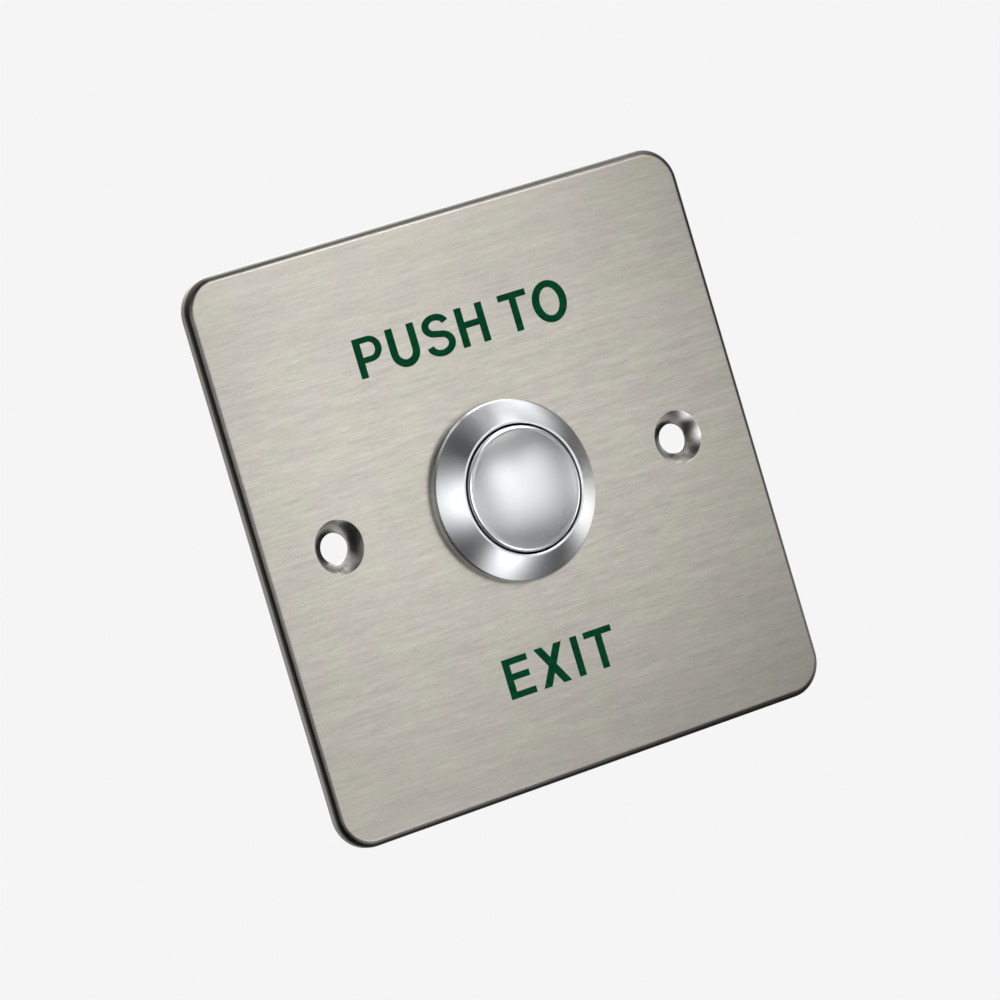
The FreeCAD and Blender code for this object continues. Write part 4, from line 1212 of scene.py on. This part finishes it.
# Terminal screws and wire clamps: on each terminal a cheese-head screw with a
# cross slot presses a square washer on the wire. Both are nickel-plated steel.
SCREW_SHANK = 2.6
SCREW_HEAD = 4.6
SCREW_BREAK = 0.35
SCREW_ROUND = 0.15
SCREW_TURN = 64
SCREW_PITCH = 0.45
SCREW_THREAD = 0.26
SLOT_WIDTH = 0.7
SLOT_LENGTH = 3.2
SLOT_DEPTH = 1.1
SLOT_ROUND = 0.12
CLAMP_HOLE = 2.7
CLAMP_ROUND = 0.35
CLAMP_BREAK = 0.12


def cross_slot(centre):
    """The slot's outline: two bars that cross, with rounded corners."""
    wide = SLOT_WIDTH / 2
    long = SLOT_LENGTH / 2
    arm = np.array([(long, -wide), (long, wide), (wide, wide)])
    return softened(repeated_round(arm, 4), SLOT_ROUND)[:-1] + centre


for side in ("common", "closed", "open"):
    clamp_low, clamp_high = box_mm("wire_clamp_" + side)
    screw_low, screw_high = box_mm("terminal_screw_" + side)
    centre = (clamp_low + clamp_high)[[0, 2]] / 2
    half = (clamp_high - clamp_low)[0] / 2
    square = [(-half, -half), (half, -half), (half, half), (-half, half)]
    clamp = stamped("square_washer_" + side, softened(square, CLAMP_ROUND)[:-1] + centre,
                    [circle(CLAMP_HOLE / 2, around=48, centre=centre)],
                    clamp_low[1], clamp_high[1], CLAMP_BREAK)
    dress(clamp, "plate", "nickel_plate", nickel_finish, "wire_clamp_" + side)

    slot_floor = screw_high[1] - SLOT_DEPTH
    slot_edge = cross_slot(centre)
    slot_walls = np.stack([np.insert(slot_edge, 1, level, axis=1)
                           for level in (screw_high[1], slot_floor)])
    body = softened([
        (SCREW_SHANK / 2, clamp_high[1]),
        (SCREW_HEAD / 2, clamp_high[1]),
        (SCREW_HEAD / 2, screw_high[1] - SCREW_BREAK),
        (SCREW_HEAD / 2 - SCREW_BREAK, screw_high[1]),
    ], SCREW_ROUND, closed=False)
    tip = [(0, screw_low[1]), (SCREW_SHANK / 2 - SCREW_BREAK, screw_low[1]),
           (SCREW_SHANK / 2, screw_low[1] + SCREW_BREAK)]
    shank = threaded(SCREW_SHANK / 2, SCREW_THREAD, SCREW_PITCH, screw_low[1] + SCREW_BREAK,
                     clamp_high[1], SCREW_TURN, centre)
    screw = mesh_piece("cross_slot_screw_" + side, turned_grid(tip, SCREW_TURN, centre), shank,
                       turned_grid(body, SCREW_TURN, centre), slot_walls,
                       flats=(screw_high[1], slot_floor))
    dress(screw, "plate", "nickel_plate", nickel_finish, "terminal_screw_" + side)

# Studio: a plain pale floor and an even world for plain shade. Reflections see a
# tent instead, with soft patches that are lighter or darker than the rest of it.
STAGE_PALE = 0.913
FLOOR_GREY = 0.8
FLOOR_DROP = -0.6
FLOOR_HALF = 0.9
TENT_RADIUS = 170
TENT_ROWS = 121
TENT_COLUMNS = 240
TENT_EVEN = 0.051
TENT_DARKEST = 0.01
AMBIENT = 0.75


def stage_material(name):
    """An empty material, with its tree."""
    material = bpy.data.materials.new(name)
    material.use_nodes = True
    material.node_tree.nodes.clear()
    return material, material.node_tree


def grey(level):
    """A colour without a hue."""
    return (level, level, level, 1)


def seen_rays(tree):
    """1 for the rays that see the background: camera, mirror and glass rays."""
    path = node(tree, "LightPath").outputs
    mirror = worked(tree, "ADD", path["Is Camera Ray"], path["Is Glossy Ray"])
    return worked(tree, "ADD", mirror, path["Is Transmission Ray"], use_clamp=True)


def tent_light(azimuth, elevation):
    """How bright the tent is in a direction: even light with soft patches added or
    taken away. Azimuth is measured from -Y to the right, both in degrees. A separate
    program fitted TENT_EVEN and all patches but the last two to the photo's tones."""
    light = TENT_EVEN + 0 * azimuth
    patches = [
        (32, 12, 15, 9, 1.41),
        (31, -5, 20, 14, 1.08),
        (36, 42, 25, 12, 2.70),
        (-32, 3, 17, 23, 2.21),
        (5, -53, 33, 14, 2.64),
        (83, -21, 9, 13, 3.67),
        (32, 65, 368, 24, 1.07),
        (65, -2, 7, 23, 2.32),
        (-52, -50, 23, 45, -1.22),
        (73, 39, 14, 16, -1.70),
        (11, -28, 24, 7, -1.16),
        (149, 68, 50, 48, 4.22),
        (16, 66, 59, 44, -1.96),
        (-120, -11, 39, 28, 0.71),
        (15, 5, 8, 22, 0.82),
        (86, 52, 7, 30, 3.11),
        (106, 43, 14, 24, -1.50),
        (114, -23, 43, 14, -0.78),
        (48, 76, 110, 7, 2.33),
        (26, 36, 33, 10, 2.61),
        (15, 10, 7, 7, 0.79),
        (24, 22, 18, 10, -1.97),
        (16, 35, 12, 12, 2.09),
        (40, 40, 24, 10, 2.70),
        (72, 8, 12, 12, -1.49),
        (9, -38, 32, 15, 1.13),
        (-8, 7, 17, 21, 0.35),
        (-30, -4, 22, 35, 1.03),
        (-170, 0, 36, 60, 0.80),
        (-151, 0, 18, 14, -0.30),
    ]
    for at_azimuth, at_elevation, wide, high, strength in patches:
        aside = ((azimuth - at_azimuth + 180) % 360 - 180) / wide
        above = (elevation - at_elevation) / high
        light = light + strength * np.exp(-aside ** 2 - above ** 2)
    return np.maximum(light, TENT_DARKEST)


floor_points = np.array([[(x, y, FLOOR_DROP) for x in (-FLOOR_HALF, FLOOR_HALF)]
                         for y in (-FLOOR_HALF, FLOOR_HALF)])
floor_mesh = bpy.data.meshes.new("studio_floor")
floor_mesh.from_pydata(floor_points.reshape(-1, 3).tolist(), [], [(0, 1, 3, 2)])
floor = placed("studio_floor", floor_mesh)
material, tree = stage_material("floor_paper")
paper = node(tree, "BsdfDiffuse", {"Color": grey(FLOOR_GREY)})
pale = node(tree, "Emission", {"Color": grey(STAGE_PALE)})
either = node(tree, "MixShader", {0: seen_rays(tree), 1: paper.outputs[0], 2: pale.outputs[0]})
node(tree, "OutputMaterial", {"Surface": either.outputs[0]})
floor_mesh.materials.append(material)

tent_rows = np.radians(np.linspace(-90, 90, TENT_ROWS))
tent_profile = np.stack([TENT_RADIUS * np.cos(tent_rows), TENT_RADIUS * np.sin(tent_rows)], axis=-1)
tent_turn = np.linspace(-pi, pi, TENT_COLUMNS + 1)[:-1]
tent_grid = np.stack([
    tent_profile[:, :1] * np.sin(tent_turn),
    -tent_profile[:, :1] * np.cos(tent_turn),
    tent_profile[:, 1:] + 0 * tent_turn,
], axis=-1)
tent = mesh_piece("light_tent", tent_grid)
count = len(tent.data.vertices)
place = np.empty(count * 3)
tent.data.vertices.foreach_get("co", place)
x, y, z = place.reshape(-1, 3).T
level = tent_light(np.degrees(np.arctan2(x, -y)), np.degrees(np.arctan2(z, np.hypot(x, y))))
shade = tent.data.attributes.new("light", "FLOAT_COLOR", "POINT")
shade.data.foreach_set("color", np.stack([level, level, level, 1 + 0 * level], axis=-1).ravel())
material, tree = stage_material("tent_cloth")
cloth = node(tree, "Attribute", attribute_name="light").outputs["Color"]
node(tree, "OutputMaterial", {"Surface": node(tree, "Emission", {"Color": cloth}).outputs[0]})
material.cycles.emission_sampling = "NONE"
tent.data.materials.append(material)
for rays in ("camera", "diffuse", "transmission", "volume_scatter", "shadow"):
    setattr(tent, "visible_" + rays, False)

world = bpy.data.worlds.new("studio")
bpy.context.scene.world = world
world.use_nodes = True
tree = world.node_tree
tree.nodes.clear()
around = node(tree, "Background", {"Color": grey(1), "Strength": AMBIENT})
seen = node(tree, "Background", {"Color": grey(STAGE_PALE), "Strength": 1.0})
either = node(tree, "MixShader", {0: seen_rays(tree), 1: around.outputs[0], 2: seen.outputs[0]})
node(tree, "OutputWorld", {"Surface": either.outputs[0]})

# Camera: the photograph's view, solved from the plate's corners. It looks down a
# little from the left, with a long lens, and is rolled to one side.
VIEW_AZIMUTH = radians(28.920)
VIEW_ELEVATION = radians(2.7214)
VIEW_ROLL = radians(16.536)
VIEW_DISTANCE = 0.81065
VIEW_TARGET = Vector((-0.96, 0.48, -0.85)) * MM
VIEW_LENS = 197.28
toward = Vector((-sin(VIEW_AZIMUTH) * cos(VIEW_ELEVATION), -cos(VIEW_AZIMUTH) * cos(VIEW_ELEVATION),
                 sin(VIEW_ELEVATION)))
camera_data = bpy.data.cameras.new("photo_view")
camera_data.lens = VIEW_LENS
camera_data.sensor_width = 36
camera_data.clip_end = 20
camera = placed("photo_view", camera_data)
upright = toward.to_track_quat("Z", "Y").to_matrix() @ Matrix.Rotation(-VIEW_ROLL, 3, "Z")
camera.matrix_world = Matrix.Translation(VIEW_TARGET + VIEW_DISTANCE * toward) @ upright.to_4x4()
bpy.context.scene.camera = camera
bpy.context.scene.view_settings.view_transform = "Standard"
